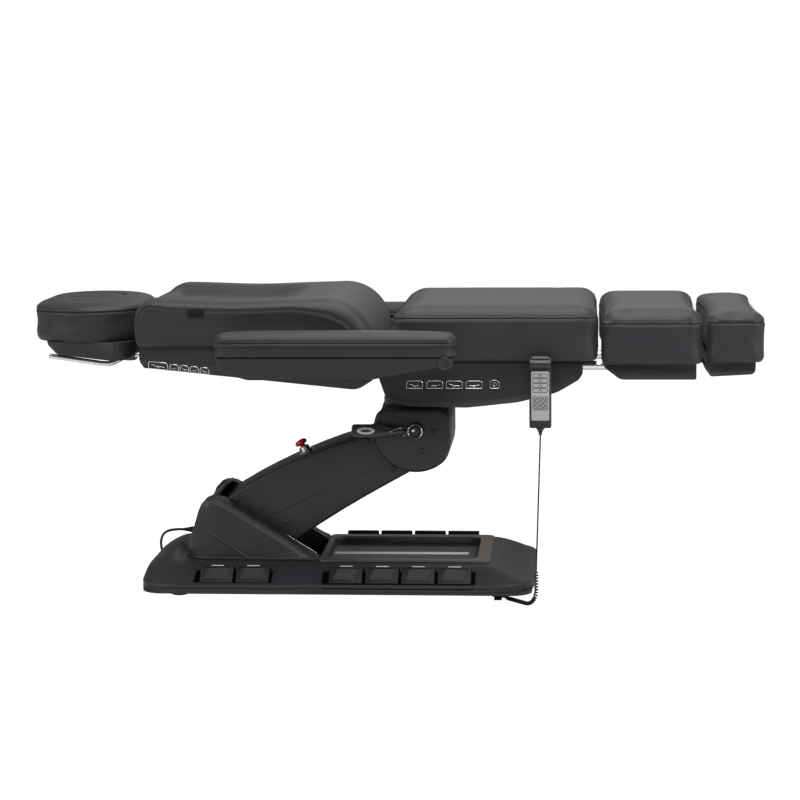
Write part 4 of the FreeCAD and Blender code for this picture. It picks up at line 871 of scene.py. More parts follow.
def backrest():
    count = 96
    columns = 57
    line, normal = back_profile(count)
    v = eased_row(columns)
    x = line[:, 0][:, None]
    around = np.linspace(0.0, 1.0, count)[:, None]
    nose = smooth_rise(x, back_hinge.x - 0.09, back_hinge.x + 0.05)
    head = 1 - smooth_rise(x, line[0, 0] + 0.02, line[0, 0] + 0.10)
    roll_deep = 0.024 + 0.024 * nose - 0.010 * head
    roll_wide = 0.055
    roundness = 2.4
    y = v[None, :] * back_half
    edge = np.clip((np.abs(y) - (back_half - roll_wide)) / roll_wide, 0, 1)
    rolled = roll_deep * (1 - (1 - edge ** roundness) ** (1 / roundness))
    on_top = normal[:, 1][:, None] ** 2
    hollow = 1 - smooth_rise(np.abs(y), 0.135, 0.215)
    from_head = smooth_rise(x, line[0, 0] - 0.01, line[0, 0] + 0.05)
    to_nose = 1 - smooth_rise(x, -0.345, -0.235)
    recess = hollow_deep * hollow * (from_head * to_nose) * on_top
    dip = dip_deep * np.exp(-((x - dip_middle) / dip_reach) ** 2) * on_top
    inward = rolled + recess + dip
    sheet = np.stack([x - normal[:, 0][:, None] * inward, y + 0 * x,
                      line[:, 1][:, None] - normal[:, 1][:, None] * inward], axis=-1)
    sheet[:, 0, 1] += seam_groove
    sheet[:, -1, 1] -= seam_groove
    back_gather = 0.0010
    side_draw = 0.0035
    side_fold = 0.0006
    stitch_column = 6
    gather = back_gather * edge ** 4 * puckers(around * 4.0 + 0 * y, 5.0)
    sheet[..., 2] += gather * on_top
    points = [sheet.reshape(-1, 3)]
    faces = grid_quads(count, columns, 0, True)
    first = count * columns
    levels = [0.03, 0.10, 0.25, 0.45, 0.65, 0.85, 1.0]
    left = line[0, 0] + 0.012
    right = line[-1, 0] - 0.012
    feet = []
    for column, sign in ((0, -1.0), (columns - 1, 1.0)):
        seam = sheet[:, column, :].copy()
        target = np.stack([left + (right - left) * around[:, 0],
                           np.full(count, sign * (back_half - foot_inset)),
                           np.full(count, back_bottom)], axis=1)
        last = [i * columns + column for i in range(count)]
        for share in levels:
            ring = seam * (1 - share) + target * share
            draw = side_draw * math.sin(math.pi * min(share * 1.3, 1.0))
            ring[:, 1] = sign * (back_half - draw - foot_inset * max(0.0, share - 0.85) / 0.15)
            ring[:, 1] += sign * side_fold * math.exp(-share * 9) * puckers(around[:, 0] * 4.0, 6.0)
            points.append(ring)
            here = list(range(first, first + count))
            for k in range(count - 1):
                quad = (last[k], last[k + 1], here[k + 1], here[k])
                faces.append(quad if sign < 0 else quad[::-1])
            last = here
            first += count
        feet.append(last)
    tip_row = [(count - 1) * columns + j for j in range(columns)]
    head_row = list(range(columns - 1, -1, -1))
    faces.append(tuple(feet[0] + tip_row + feet[1][::-1] + head_row))
    made = piece("back_pad", "back", np.vstack(points), faces, upholstery, all_smooth)
    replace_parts(made, "back_cushion")
    for column, side in ((0, "near"), (columns - 1, "far")):
        seam = sheet[1:-1, column, :]
        strand("back_%s_piping" % side, "back", seam, piping_radius, upholstery)
        inner = columns - 1 - stitch_column if column else stitch_column
        row = sheet[2:-2, inner, :]
        lift = np.stack([normal[2:-2, 0], 0 * normal[2:-2, 0], normal[2:-2, 1]], axis=1)
        stitches("back_%s_stitching" % side, "back", row, lift, closed=False)


# Headrest: a ring-shaped cushion round the face opening, and its plug
def oval(count, half_x, half_y, corner):
    """Closed loop on a rectangle with round corners, evenly spread by angle."""
    loop = []
    for i in range(count):
        angle = 2 * math.pi * i / count
        dx, dy = math.cos(angle), math.sin(angle)
        reach = 1.0 / max(abs(dx) / half_x, abs(dy) / half_y)
        x, y = dx * reach, dy * reach
        over_x = max(0.0, abs(x) - (half_x - corner))
        over_y = max(0.0, abs(y) - (half_y - corner))
        if over_x > 0 and over_y > 0:
            lo, hi = 0.0, reach
            for _ in range(30):
                mid = (lo + hi) / 2
                cx = max(0.0, abs(dx) * mid - (half_x - corner))
                cy = max(0.0, abs(dy) * mid - (half_y - corner))
                if math.hypot(cx, cy) > corner:
                    hi = mid
                else:
                    lo = mid
            x, y = dx * lo, dy * lo
        loop.append((x, y))
    return np.array(loop)


def headrest():
    low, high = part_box("headrest_cushion")
    middle = (low + high) / 2
    half = (high - low) / 2
    count = 128
    seam = 0.756
    plug_low, plug_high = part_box("face_plug")
    plug_half = (plug_high - plug_low) / 2
    gap = 0.0012
    hole = oval(count, plug_half.x + gap, plug_half.y + gap, plug_half.y - 0.002)
    outer = oval(count, half.x, half.y, 0.142)
    side_ladder = [(0.008, low.z), (0.002, low.z + 0.008), (0.0, low.z + 0.022), (0.003, low.z + 0.040),
                   (0.0035, low.z + 0.055), (0.001, seam - 0.010), (0.0, seam - 0.004), (seam_groove, seam)]
    levels = [(outer * (1 - inset / half.y), z) for inset, z in side_ladder]
    seam_ring = len(levels) - 1
    stitch_ring = seam_ring + 3
    roll = 0.075
    roll_rings = 14
    crown = 0.003
    for k in range(1, roll_rings + 1):
        t = k / roll_rings
        inset = roll * (1 - math.cos(t * math.pi / 2))
        z = seam + (high.z - seam - crown) * math.sin(t * math.pi / 2) ** 0.9
        levels.append((outer * (1 - inset / half.y), z))
    start = levels[-1][0]
    top_rings = 8
    opening_ring = len(levels) + top_rings - 3
    for k in range(1, top_rings + 1):
        t = k / top_rings
        ring = start * (1 - t) + hole * 1.06 * t
        levels.append((ring, high.z - crown + crown * math.sin(t * math.pi)))
    for grow, drop in ((1.03, 0.004), (1.01, 0.008), (1.0, 0.014)):
        levels.append((hole * grow, high.z - drop))
    levels.append((hole, low.z))
    rings = []
    for ring, z in levels:
        rings.append([Vector((middle.x + x, middle.y + y, z)) for x, y in ring])
    points, faces = bands(rings, caps=False)
    last = (len(rings) - 1) * count
    for i in range(count):
        j = (i + 1) % count
        faces.append((last + i, last + j, j, i))
    made = piece("head_pad", "headrest", points, faces, upholstery, 50.0)
    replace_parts(made, "headrest_cushion")
    seam_line = [tuple(p) for p in rings[seam_ring]]
    # Piping in the near-black thread finish: painted shade along the seam groove
    strand("head_piping", "headrest", seam_line, piping_radius, thread_and_seam_shade, closed=True)
    row = [tuple(p) for p in rings[stitch_ring]]
    outward = [(p.x - middle.x, p.y - middle.y, 0.1) for p in rings[stitch_ring]]
    stitches("head_stitching", "headrest", row, outward)
    inner_row = [tuple(p + Vector((0, 0, 0.0002))) for p in rings[opening_ring]]
    stitches("opening_stitching", "headrest", inner_row, [(0.0, 0.0, 1.0)] * count)
    plug = oval(count, plug_half.x, plug_half.y, plug_half.y - 0.002)
    profile = [(0.985, plug_low.z), (1.0, plug_low.z + 0.004), (1.0, plug_high.z - 0.016),
               (0.985, plug_high.z - 0.008), (0.95, plug_high.z - 0.003), (0.88, plug_high.z - 0.0005),
               (0.6, plug_high.z + 0.0005), (0.3, plug_high.z + 0.001)]
    rings = [[Vector((middle.x + x * s, middle.y + y * s, z)) for x, y in plug] for s, z in profile]
    stopper = piece("face_pad", "face_plug", *bands(rings), upholstery, 50.0)
    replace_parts(stopper, "face_plug")


# Bed shells
least_round = 0.0008
back_crease = 0.640
back_belly = 0.597
back_head_step = 0.010
back_nose_step = 0.052
back_flank = 0.0105
foot_hinge = (0.796, 0.620)


def across(name, body, sections, material, sharp=30.0):
    """Skin over side outlines of (x, z), each at its own place across the width."""
    rings = [[Vector((p.x, y, p.y)) for p in outline] for y, outline in sections]
    return piece(name, body, *bands(rings), material, sharp)


def mitred(corners, insets):
    """Corners of an outline whose sides are each moved in by their own inset."""
    count = len(corners)
    sides = []
    for i in range(count):
        start = Vector(corners[i])
        run = (Vector(corners[(i + 1) % count]) - start).normalized()
        sides.append((start + Vector((-run.y, run.x)) * insets[i], run))
    spots = []
    for i in range(count):
        p, d = sides[i - 1]
        q, e = sides[i]
        turn = d.x * e.y - d.y * e.x
        spots.append(p + d * (((q.x - p.x) * e.y - (q.y - p.y) * e.x) / turn))
    return spots


def stepped_in(corners, radii, inset):
    """Rounded outline whose sides, but for its top, are moved in by inset."""
    moved = mitred(corners, [inset] * (len(corners) - 1) + [0.0])
    return filleted(moved, [max(r - inset, least_round) for r in radii])


def lipped_sections(corners, radii, half, lip=0.012, flare=0.004, ease=0.002):
    """Sections of a shell whose edge flares out into a narrow lip on both sides, but for its top."""
    ladder = [(half - flare - 0.0015, lip + 0.006), (half - flare, lip), (half - 0.0006, ease),
              (half - 0.0022, 0.0)]
    return mirrored([(y, stepped_in(corners, radii, inset)) for y, inset in ladder])


def back_tag():
    """Small bare fabric tag below the side seam of the backrest."""
    outline = filleted([(-0.514, 0.7535), (-0.472, 0.7535), (-0.472, 0.7735), (-0.514, 0.7735)], 0.0015)
    slab("back_tag", "back", outline, [(-0.3124, 0.0006), (-0.3120, 0.0), (-0.3096, 0.0)], thread_and_seam_shade)


def seat_skirt():
    low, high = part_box("seat_shell")
    corners = [(low.x, high.z), (low.x + 0.003, 0.590), (low.x + 0.020, 0.540), (low.x + 0.078, 0.520),
               (0.200, low.z + 0.001), (0.330, 0.530), (0.430, 0.555), (high.x - 0.010, 0.588),
               (high.x, 0.604), (high.x, high.z)]
    radii = [0.002, 0.05, 0.030, 0.08, 0.20, 0.20, 0.10, 0.022, 0.012, 0.002]
    made = across("seat_skirt", "seat", lipped_sections(corners, radii, high.y), shell_plastic)
    inner = high.y - 0.021
    notch_half = 0.225
    below = low.z - 0.06
    well = cutter("seat_well", low.x + 0.031, high.x - 0.043, -inner, inner, below, high.z - 0.004, 0.006)
    notch = cutter("seat_notch", low.x - 0.02, low.x + 0.040, -notch_half, notch_half, below, high.z + 0.02)
    carve(made, [well, notch], "seat", shell_plastic, sharp_turn)
    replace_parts(made, "seat_shell")


def back_skirt():
    low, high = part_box("back_shell")
    top = high.z

    def outline(drop):
        corners = [(low.x, top), (low.x, back_crease - 0.2 * drop),
                   (low.x + back_head_step, back_crease - 0.62 * drop),
                   (high.x - back_nose_step, back_belly - drop), (high.x - 0.008, 0.610 - 0.6 * drop),
                   (high.x - 0.004, back_crease), (high.x - 0.030, top)]
        return filleted(corners, [0.002, 0.004, 0.006, 0.05, 0.02, 0.03, 0.004])

    deep = 0.036
    half = high.y
    rows = [(half - 0.0008, outline(0.0)), (half, outline(0.001)),
            (half - back_flank, outline(deep - 0.0015)), (half - 0.0125, outline(deep))]
    made = across("back_skirt", "back", mirrored(rows), shell_plastic)
    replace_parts(made, "back_shell")


def leg_skirts():
    low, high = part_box("leg_shell")
    right = high.x - 0.019
    corners = [(low.x, high.z), (low.x, high.z - 0.010), (low.x + 0.041, low.z), (right, low.z),
               (right, high.z)]
    radii = [0.002, 0.010, 0.030, 0.006, 0.002]
    made = across("leg_skirt", "leg_slide", lipped_sections(corners, radii, high.y, 0.013), shell_plastic)
    lugs = hinge_lugs("leg", "leg_slide", right - 0.004, 0.075)
    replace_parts(merged("leg_skirt", [made] + lugs), "leg_shell")
    low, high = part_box("foot_shell")
    left = 0.804
    corners = [(left, high.z), (left, low.z + 0.022), (left + 0.016, low.z), (high.x, low.z + 0.006),
               (high.x, high.z)]
    radii = [0.002, 0.010, 0.008, 0.016, 0.002]
    made = across("foot_skirt", "foot", lipped_sections(corners, radii, high.y, 0.007), shell_plastic)
    lugs = hinge_lugs("foot", "foot", left + 0.002, 0.107)
    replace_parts(merged("foot_skirt", [made] + lugs), "foot_shell")


def cross_lug(name, body, root, y):
    """Knuckle of the foot hinge on its arm."""
    barrel = 0.007
    half = 0.015
    steps = 10
    x, z = foot_hinge
    start = math.pi / 2 if root < x else -math.pi / 2
    nose = []
    for k in range(steps + 1):
        angle = start - math.pi * k / steps
        nose.append((x + barrel * math.cos(angle), z + barrel * math.sin(angle)))
    corners = nose + [(root, nose[-1][1]), (root, nose[0][1])]
    outline = [Vector(c) for c in corners]
    return across(name, body, [(y - half, outline), (y + half, outline)], shell_plastic)


def hinge_lugs(name, body, root, reach):
    """Pair of foot hinge knuckles, one each side of the middle."""
    return [cross_lug("%s_lug_%d" % (name, k), body, root, side * reach) for k, side in enumerate((-1, 1))]


def head_shell():
    low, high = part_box("headrest_shell")
    pan_top = 0.6767
    left = low.x + 0.028
    right = high.x
    half = high.y

    def outline(grow):
        corners = [(left + grow, pan_top), (left + 0.004 + grow, pan_top - 0.012),
                   (left + 0.026 + grow * 0.6, 0.643), (right - 0.006 - grow, low.z + 0.002),
                   (right - grow * 0.8, low.z + 0.010), (right - grow, pan_top)]
        return filleted(corners, [0.002, 0.010, 0.014, 0.010, 0.008, 0.002])

    corner_wide = 0.060
    corner_long = 0.050
    steps = 8
    rows = []
    for k in range(steps, -1, -1):
        angle = math.pi / 2 * k / steps
        y = half - corner_wide * (1 - math.sin(angle))
        rows.append((y, outline(corner_long * (1 - math.cos(angle)))))
    made = across("head_shell", "headrest", mirrored(rows), shell_plastic, 40.0)
    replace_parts(made, "headrest_shell")


def head_rails():
    """Chrome rails that run under the tub, bend up and slide into the backrest."""
    low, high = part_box("headrest_rails")
    level = (low.z + high.z) / 2
    rail_radius = 0.0068
    rails = []
    for side, sign in both_sides:
        y = sign * (high.y - 0.008)
        out = sign * 0.030
        spots = [(-0.905, y + out, 0.6385), (-0.880, y + out, 0.6350), (-0.820, y + out, 0.6265),
                 (-0.765, y + out, 0.6185), (-0.748, y + out * 0.9, 0.6175), (-0.734, y + out * 0.7, 0.6205),
                 (-0.720, y + out * 0.4, 0.6280), (-0.706, y + out * 0.15, 0.6345), (-0.690, y, level),
                 (-0.640, y, level), (high.x, y, level)]
        rails.append(strand(side + "_head_rail", "headrest", spots, rail_radius, chrome, sides=14))
    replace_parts(merged("head_rails", rails), "headrest_rails")


def arm_shells():
    left, right = -0.426, 0.178
    inner, outer = 0.345, 0.445
    ease = 0.009
    ladder = [(0.0, ease), (0.0006, ease * 0.62), (0.0026, ease * 0.29), (0.0056, ease * 0.08), (ease, 0.0)]
    rows = [(inner + d, inset) for d, inset in ladder] + [(outer - d, inset) for d, inset in reversed(ladder)]
    radii = [0.002, 0.03, 0.03, 0.05, 0.10, 0.06, 0.012, 0.002]
    cap_profile = [(0.017, 0.0), (0.017, 0.0025), (0.0160, 0.0038), (0.0130, 0.0044), (0.0120, 0.0036),
                   (0.001, 0.0036)]
    for side, sign in both_sides:
        node = side + "_armrest_shell"
        low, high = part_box(node)
        top = high.z
        bottom = low.z
        corners = [(left, top), (left + 0.008, top - 0.024), (left + 0.040, bottom + 0.012),
                   (left + 0.082, bottom), (right - 0.218, bottom), (right - 0.070, bottom + 0.026),
                   (right - 0.006, top - 0.016), (right, top)]
        sections = [(sign * y, stepped_in(corners, radii, inset)) for y, inset in rows]
        shell = across(side + "_arm_shell", "armrests", sections, shell_plastic, 40.0)
        cap_spot = (right - 0.025, sign * (outer - 0.001), top - 0.012)
        cap = turned(side + "_arm_cap", "armrests", cap_profile, cap_spot, (0, sign, 0), shell_plastic)
        pin = turned(side + "_arm_pin", "armrests", [(0.005, -0.012), (0.005, 0.003)],
                     (-0.320, sign * inner, 0.617), (0, sign, 0), shell_plastic)
        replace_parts(merged(side + "_arm_shell", [shell, cap, pin]), node)


# Key marks on the shells: raised outlines with a plain line drawing in each
mark_radius = 0.0011
seat_key_foot = 0.566
seat_key_inset = 0.0040
back_key_foot = 0.6177
back_key_fall = 0.0567
back_key_rise = 0.0015
back_key_pitch = 0.0262


def key_outline(width, height, corner):
    """Upright key with round upper corners, as a closed line of (x, z)."""
    corners = [(-width / 2, 0.0), (width / 2, 0.0), (width / 2, height), (-width / 2, height)]
    return filleted(corners, [0.0015, 0.0015, corner, corner], 4)


def key_drawing(kind, width, height):
    """Plain line drawing for a key: a bent bed line, or a ring."""
    if kind == "ring":
        radius = height * 0.22
        return [[(radius * math.cos(a), height / 2 + radius * math.sin(a))
                 for a in [2 * math.pi * k / 14 for k in range(15)]]]
    lift = 0.30 if kind == "up" else -0.18
    span = width * 0.32
    bed = [(-span, height * (0.42 + lift * 0.6)), (-span * 0.3, height * 0.40), (span * 0.35, height * 0.40),
           (span, height * (0.40 - lift * 0.3))]
    leg = [(-span * 0.2, height * 0.22), (span * 0.25, height * 0.22)]
    return [bed, leg]


def key_marks(name, body, keys, lay, material):
    """Keys of (place, width, height, corner, kind), laid on a face by lay(x, z)."""
    strands = []
    for k, (x, width, height, corner, kind) in enumerate(keys):
        ring = [lay(x + p.x, p.y) for p in key_outline(width, height, corner)]
        strands.append(strand("%s_%d" % (name, k), body, ring, mark_radius, material, closed=True))
        for n, line in enumerate(key_drawing(kind, width, height)):
            spots = [lay(x + dx, dz) for dx, dz in line]
            strands.append(strand("%s_%d_%d" % (name, k, n), body, spots, mark_radius * 0.7, material))
    return merged(name, strands)


def shell_keys():
    seat_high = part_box("seat_shell")[1]
    back_low, back_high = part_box("back_shell")
    wide = 0.041
    tall = 0.019
    for side, sign in both_sides:
        face = sign * (seat_high.y - seat_key_inset)

        def on_seat(x, z):
            return (x, face, seat_key_foot + z)

        seat_row = ((0.066, "up"), (0.118, "down"), (0.168, "up"), (0.219, "down"))
        keys = [(x, wide, tall, 0.007, kind) for x, kind in seat_row]
        keys.append((0.271, 0.023, 0.021, 0.009, "ring"))
        key_marks(side + "_seat_keys", "seat", keys, on_seat, chrome)

        def on_back(x, z):
            run = back_high.x - back_nose_step - back_low.x - back_head_step
            share = (x - back_low.x - back_head_step) / run
            crease = back_crease - (back_crease - back_belly) * share
            foot = back_key_foot - back_key_fall * share
            height = foot + back_key_rise + z
            inset = back_flank * (crease - height) / (crease - foot)
            return (x, sign * (back_high.y - inset + 0.0002), height)

        keys = [(-0.597, 0.050, 0.0195, 0.008, "up")]
        keys += [(-0.555 + back_key_pitch * k, 0.0225, 0.0175, 0.008, kind)
                 for k, kind in enumerate(("down", "up", "down", "up"))]
        key_marks(side + "_back_keys", "back", keys, on_back, chrome)


# Base: cover, wells, tray and trim
base_low = 0.027
base_wide = 0.300
base_waist = 0.008
nose_corner = 0.085
tail_corner = 0.120
tail_run = 0.098
rim_line = 0.052
rim_inset = 0.0040
rim_step = 0.0012
least_step = 0.0013
deck_level = 0.092
deck_end = 0.262
hump_rise = 0.022
hump_half = 0.22
flank_slope = 0.40
flank_start = 0.200
nose_step = 0.020
nose_slope = 0.72
tail_slope = 0.42
deck_ease = 0.014
nose_ease = 0.030
tail_ease = 0.012
well_spans = [(-0.517, -0.312), (-0.181, 0.219)]
well_inner = 0.2375
well_outer = 0.2905
well_floor = 0.0355
well_corner = 0.006


def plan_rings(outline, heights):
    """Level outline of (x, y) at several heights, drawn in by each height's inset."""
    return [[Vector((p.x, p.y, z)) for p in drawn_in(outline, inset)] for z, inset in heights]


def plan_outline(x0, x1, y0, y1, corner, steps=6):
    return filleted([(x0, y0), (x1, y0), (x1, y1), (x0, y1)], corner, steps)


def cutter(name, x0, x1, y0, y1, z0, z1, corner=0.004):
    return bare(name, *bands(plan_rings(plan_outline(x0, x1, y0, y1, corner), [(z0, 0.0), (z1, 0.0)])))


def soft_min(a, b, reach):
    near = max(reach - abs(a - b), 0.0) / reach
    return min(a, b) - near * near * reach / 4


def base_half(x, low, high):
    """Half width of the base at a length, drawn in round its end corners."""
    half = base_wide - base_waist * smooth_rise(x, -0.32, -0.18)
    for gap, corner in ((x - low.x, nose_corner), (high.x - x, tail_corner)):
        if gap < corner:
            half -= corner - math.sqrt(max(corner ** 2 - (corner - gap) ** 2, 0.0))
    return half


def base_level(x, y, half, low):
    """Height of the cover: sloping flanks, a domed nose at the head end and a falling foot end."""
    flank = rim_line + rim_step + (half - rim_inset - abs(y)) * flank_slope
    dome = hump_rise * max(0.0, 1 - (y / hump_half) ** 2) * (1 - smooth_rise(x, -0.598, -0.564))
    nose = rim_line + nose_step + (x - low.x) * nose_slope
    tail = deck_level - (x - deck_end) * tail_slope
    level = soft_min(flank, deck_level + dome, deck_ease)
    level = soft_min(soft_min(level, nose, nose_ease), tail, tail_ease)
    return max(level, rim_line + least_step)


base_shares = [0.985, 0.96, 0.92, 0.87, 0.82, 0.77, 0.735, 0.71, 0.69, 0.67, 0.65, 0.63, 0.60, 0.52, 0.42,
               0.32, 0.21, 0.10]


def base_ring(x, low, high):
    half = base_half(x, low, high)
    side = [(half - 0.003, base_low), (half, base_low + 0.003), (half, rim_line - 0.013),
            (half - 0.0022, rim_line - 0.0115), (half - 0.0022, rim_line - 0.0095), (half, rim_line - 0.008),
            (half, rim_line - 0.003), (half - 0.0012, rim_line - 0.0002),
            (half - rim_inset, rim_line + rim_step)]
    side += [(half * s, base_level(x, half * s, half, low)) for s in base_shares]
    near = [Vector((x, -y, z)) for y, z in side]
    far = [Vector((x, y, z)) for y, z in reversed(side)]
    return near + [Vector((x, 0.0, base_level(x, 0.0, half, low)))] + far


def base_shell():
    low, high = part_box("base_cover")
    left = [low.x + nose_corner * (1 - math.cos(math.pi / 2 * k / 9)) for k in range(10)] + [-0.571, -0.566]
    middle = [deck_end - 0.010, deck_end, deck_end + 0.010]
    middle = list(np.linspace(-0.561, deck_end - 0.020, 30)) + middle
    right = [high.x - tail_run * (1 - math.sin(math.pi / 2 * k / 12)) for k in range(13)]
    rings = [base_ring(x, low, high) for x in left + middle + right]
    made = bare("base_shell", *bands(rings))
    tray_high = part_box("deck_tray")[1]
    above = 0.2
    well_cut = 0.034
    cutters = [cutter("tray_cut", -0.190, tray_high.x - 0.030, -0.153, 0.153, 0.068, above, 0.030),
               cutter("arm_cut", -0.536, -0.192, -0.110, 0.110, 0.045, above)]
    for k, (x0, x1) in enumerate(well_spans):
        for side, sign in both_sides:
            y0, y1 = sorted((sign * well_inner, sign * well_outer))
            cutters.append(cutter("%s_cut_%d" % (side, k), x0, x1, y0, y1, well_cut, above, well_corner))
    carve(made, cutters, "base", base_plastic, 32.0)
    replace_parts(made, "base_cover")
    for k, (x0, x1) in enumerate(well_spans):
        for side, sign in both_sides:
            well_liner("%s_well_%d" % (side, k), x0, x1, sign)


def flank_level(y):
    return deck_level - (abs(y) - flank_start) * flank_slope


def well_liner(name, x0, x1, sign):
    """Near-black cup in the flank that the pedals sink into, darker than the pedal plastic as painted shade
    in the well; a ring with no level follows the flank.
    """
    skin = 0.0016
    gap = 0.0002
    proud = 0.0008
    outline = plan_outline(x0 + gap, x1 - gap, well_inner + gap, well_outer - gap, well_corner)
    rings = []
    for inset, level in ((0.0, well_floor - 0.001), (0.0, None), (skin, None), (skin, well_floor + skin)):
        ring = []
        for p in drawn_in(outline, inset):
            z = flank_level(p.y) + proud if level is None else level
            ring.append(Vector((p.x, sign * p.y, z)))
        rings.append(ring)
    piece(name, "base", *bands(rings), well_painted_shade)


def deck_dish():
    """Recessed tray: bowl with a soft foot, brushed frame round it and a bright strip along it."""
    low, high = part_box("deck_tray")
    deck = 0.0924
    inner = plan_outline(-0.187, high.x - 0.034, -0.150, 0.150, 0.034, 8)
    bowl_rings = plan_rings(inner, [(0.0700, -0.002), (deck, -0.002), (deck + 0.0006, 0.0),
                                    (deck - 0.004, 0.002), (0.080, 0.006), (0.0755, 0.012), (0.0742, 0.022)])
    bowl = piece("deck_bowl", "base", *bands(bowl_rings), base_plastic)
    outer = plan_outline(low.x, high.x, low.y, high.y, 0.022, 8)
    frame_top = deck + 0.0024
    frame_rings = plan_rings(outer, [(deck - 0.001, 0.0), (deck + 0.0016, 0.0004), (frame_top, 0.0018)])
    frame_rings += plan_rings(inner, [(frame_top, 0.0005), (deck + 0.0012, 0.0016), (deck - 0.003, 0.0018)])
    frame_rings.append(frame_rings[0])
    rim = piece("deck_frame", "base", *bands(frame_rings, caps=False), trim_bronze)
    strip = plan_outline(-0.183, 0.190, 0.006, 0.024, 0.003)
    strip_rings = plan_rings(strip, [(0.0736, 0.0), (0.0766, 0.0), (0.0772, 0.0010)])
    bar = piece("deck_strip", "base", *bands(strip_rings), mark_white)
    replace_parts(merged("deck_frame", [rim, bowl, bar]), "deck_tray")


# Foot pedals
pedal_half = 0.0436
pedal_crest = Vector((0.2510, 0.0926))
pedal_toe = Vector((0.2846, 0.0592))
rib_radius = 0.0013
lip_radius = 0.0012
mark_half = 0.0165
barrel_half = 0.042


def pedal_body(sign):
    def upright(p):
        return Vector((p.y, sign * p.x, p.z))
    return upright


def foot_pedal(name, middle, sign):
    corners = [(0.214, 0.0795), (0.2400, 0.0700), (0.2428, 0.0780), (0.2430, 0.0925), tuple(pedal_crest),
               tuple(pedal_toe), (0.2870, 0.0585), (0.2872, 0.0510), (0.2840, 0.0502), (0.2410, 0.0612),
               (0.214, 0.0675)]
    radii = [0.0005, 0.0005, 0.002, 0.0018, 0.003, 0.0015, 0.0015, 0.0012, 0.002, 0.002, 0.0005]
    outline = filleted(corners, radii, 3)
    upright = pedal_body(sign)
    stations = edge_stations(middle - pedal_half, middle + pedal_half, 0.0020)
    parts = [slab(name, name, outline, stations, pedal_plastic, upright)]
    along = (pedal_toe - pedal_crest).normalized()
    up = Vector((-along.y, along.x))
    reach = (pedal_toe - pedal_crest).length

    def on_face(x, share, lift):
        spot = pedal_crest + along * (reach * share) + up * lift
        return Vector((middle + x, sign * spot.x, spot.y))

    span = pedal_half - 0.0085
    ring = [on_face(x, s, 0.0006) for x, s in ((-span, 0.10), (span, 0.10), (span, 0.90), (-span, 0.90))]
    parts.append(strand(name + "_rim", name, ring, rib_radius, pedal_plastic, closed=True, sides=4))
    # The ribs and the toe lip are drawn in the lighter shell plastic: a painted highlight on the crests and
    # lip of the dark pedal plastic
    ribs = 15
    lean = 0.012
    margin = 0.004
    for k in range(ribs):
        x = -span + margin + (2 * span - 2 * margin - lean) * k / (ribs - 1)
        rib = [on_face(x + lean, 0.16, 0.0002), on_face(x, 0.84, 0.0002)]
        parts.append(strand("%s_rib_%d" % (name, k), name, rib, rib_radius, shell_plastic, sides=4))
    lip = [on_face(x, 1.06, 0.0006) for x in (-pedal_half + margin, pedal_half - margin)]
    parts.append(strand(name + "_lip", name, lip, lip_radius, shell_plastic, sides=4))
    mark = filleted([(0.2438, 0.0920), (0.2500, 0.0920), (0.2500, 0.0932), (0.2438, 0.0932)], 0.0003, 2)
    mark_ends = [(middle - mark_half, 0.0), (middle + mark_half, 0.0)]
    parts.append(slab(name + "_mark", name, mark, mark_ends, mark_white, upright))
    barrel = filleted([(0.208, 0.068), (0.220, 0.068), (0.220, 0.0795), (0.208, 0.0795)], 0.006, 5)
    barrel_ends = [(middle - barrel_half, 0.0), (middle + barrel_half, 0.0)]
    parts.append(slab(name + "_barrel", name, barrel, barrel_ends, pedal_plastic, upright))
    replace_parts(merged(name, parts), name)


def foot_pedals():
    for number in range(1, 7):
        for side, sign in both_sides:
            name = "%s_pedal_%d" % (side, number)
            low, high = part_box(name)
            foot_pedal(name, (low.x + high.x) / 2, sign)


# Column cover round the foot of the arm
column_back = -0.561
column_half = 0.170
column_corner = 0.075
column_base = 0.0923
arm_slot_half = 0.1125
hood_half = 0.1245
hollow_half = 0.1140
mouth_half = 0.14
crease_radius = 0.0034
edge_highlight_radius = 0.0012
skirt_radius = 0.0035
cheek_line = [(column_back, column_base), (-0.557, 0.116), (-0.550, 0.142), (-0.541, 0.165), (-0.533, 0.186),
              (-0.524, 0.215), (-0.514, 0.239), (-0.503, 0.251), (-0.490, 0.2565), (-0.474, 0.2575),
              (-0.460, 0.254), (-0.445, 0.246), (-0.380, 0.205), (-0.300, 0.1555), (-0.230, 0.1115),
              (-0.206, 0.0965), (-0.203, column_base)]


def column_reach(y):
    """Back end of the column at a distance from the middle, round its corner."""
    past = abs(y) - (column_half - column_corner)
    if past <= 0:
        return column_back
    return column_back + column_corner - math.sqrt(max(column_corner ** 2 - past ** 2, 0.0))


def cheek_section(y, drop):
    back = column_reach(y)
    spots = []
    for x, z in cheek_line:
        lowered = max(z - drop, column_base) if z > column_base + 0.01 else z
        spots.append(Vector((max(x, back), lowered)))
    return spots


def arched(outline, half):
    """Side outline repeated across the width, lower towards both sides like an arch."""
    steps = 16
    squareness = 6
    side_share = 0.70
    rings = []
    for k in range(steps + 1):
        share = math.cos(math.pi * k / steps)
        arch = (1 - abs(share) ** squareness) ** (1 / squareness)
        height = side_share + (1 - side_share) * arch
        rings.append([Vector((p.x, half * share, column_base + (p.y - column_base) * height))
                      for p in outline])
    return rings


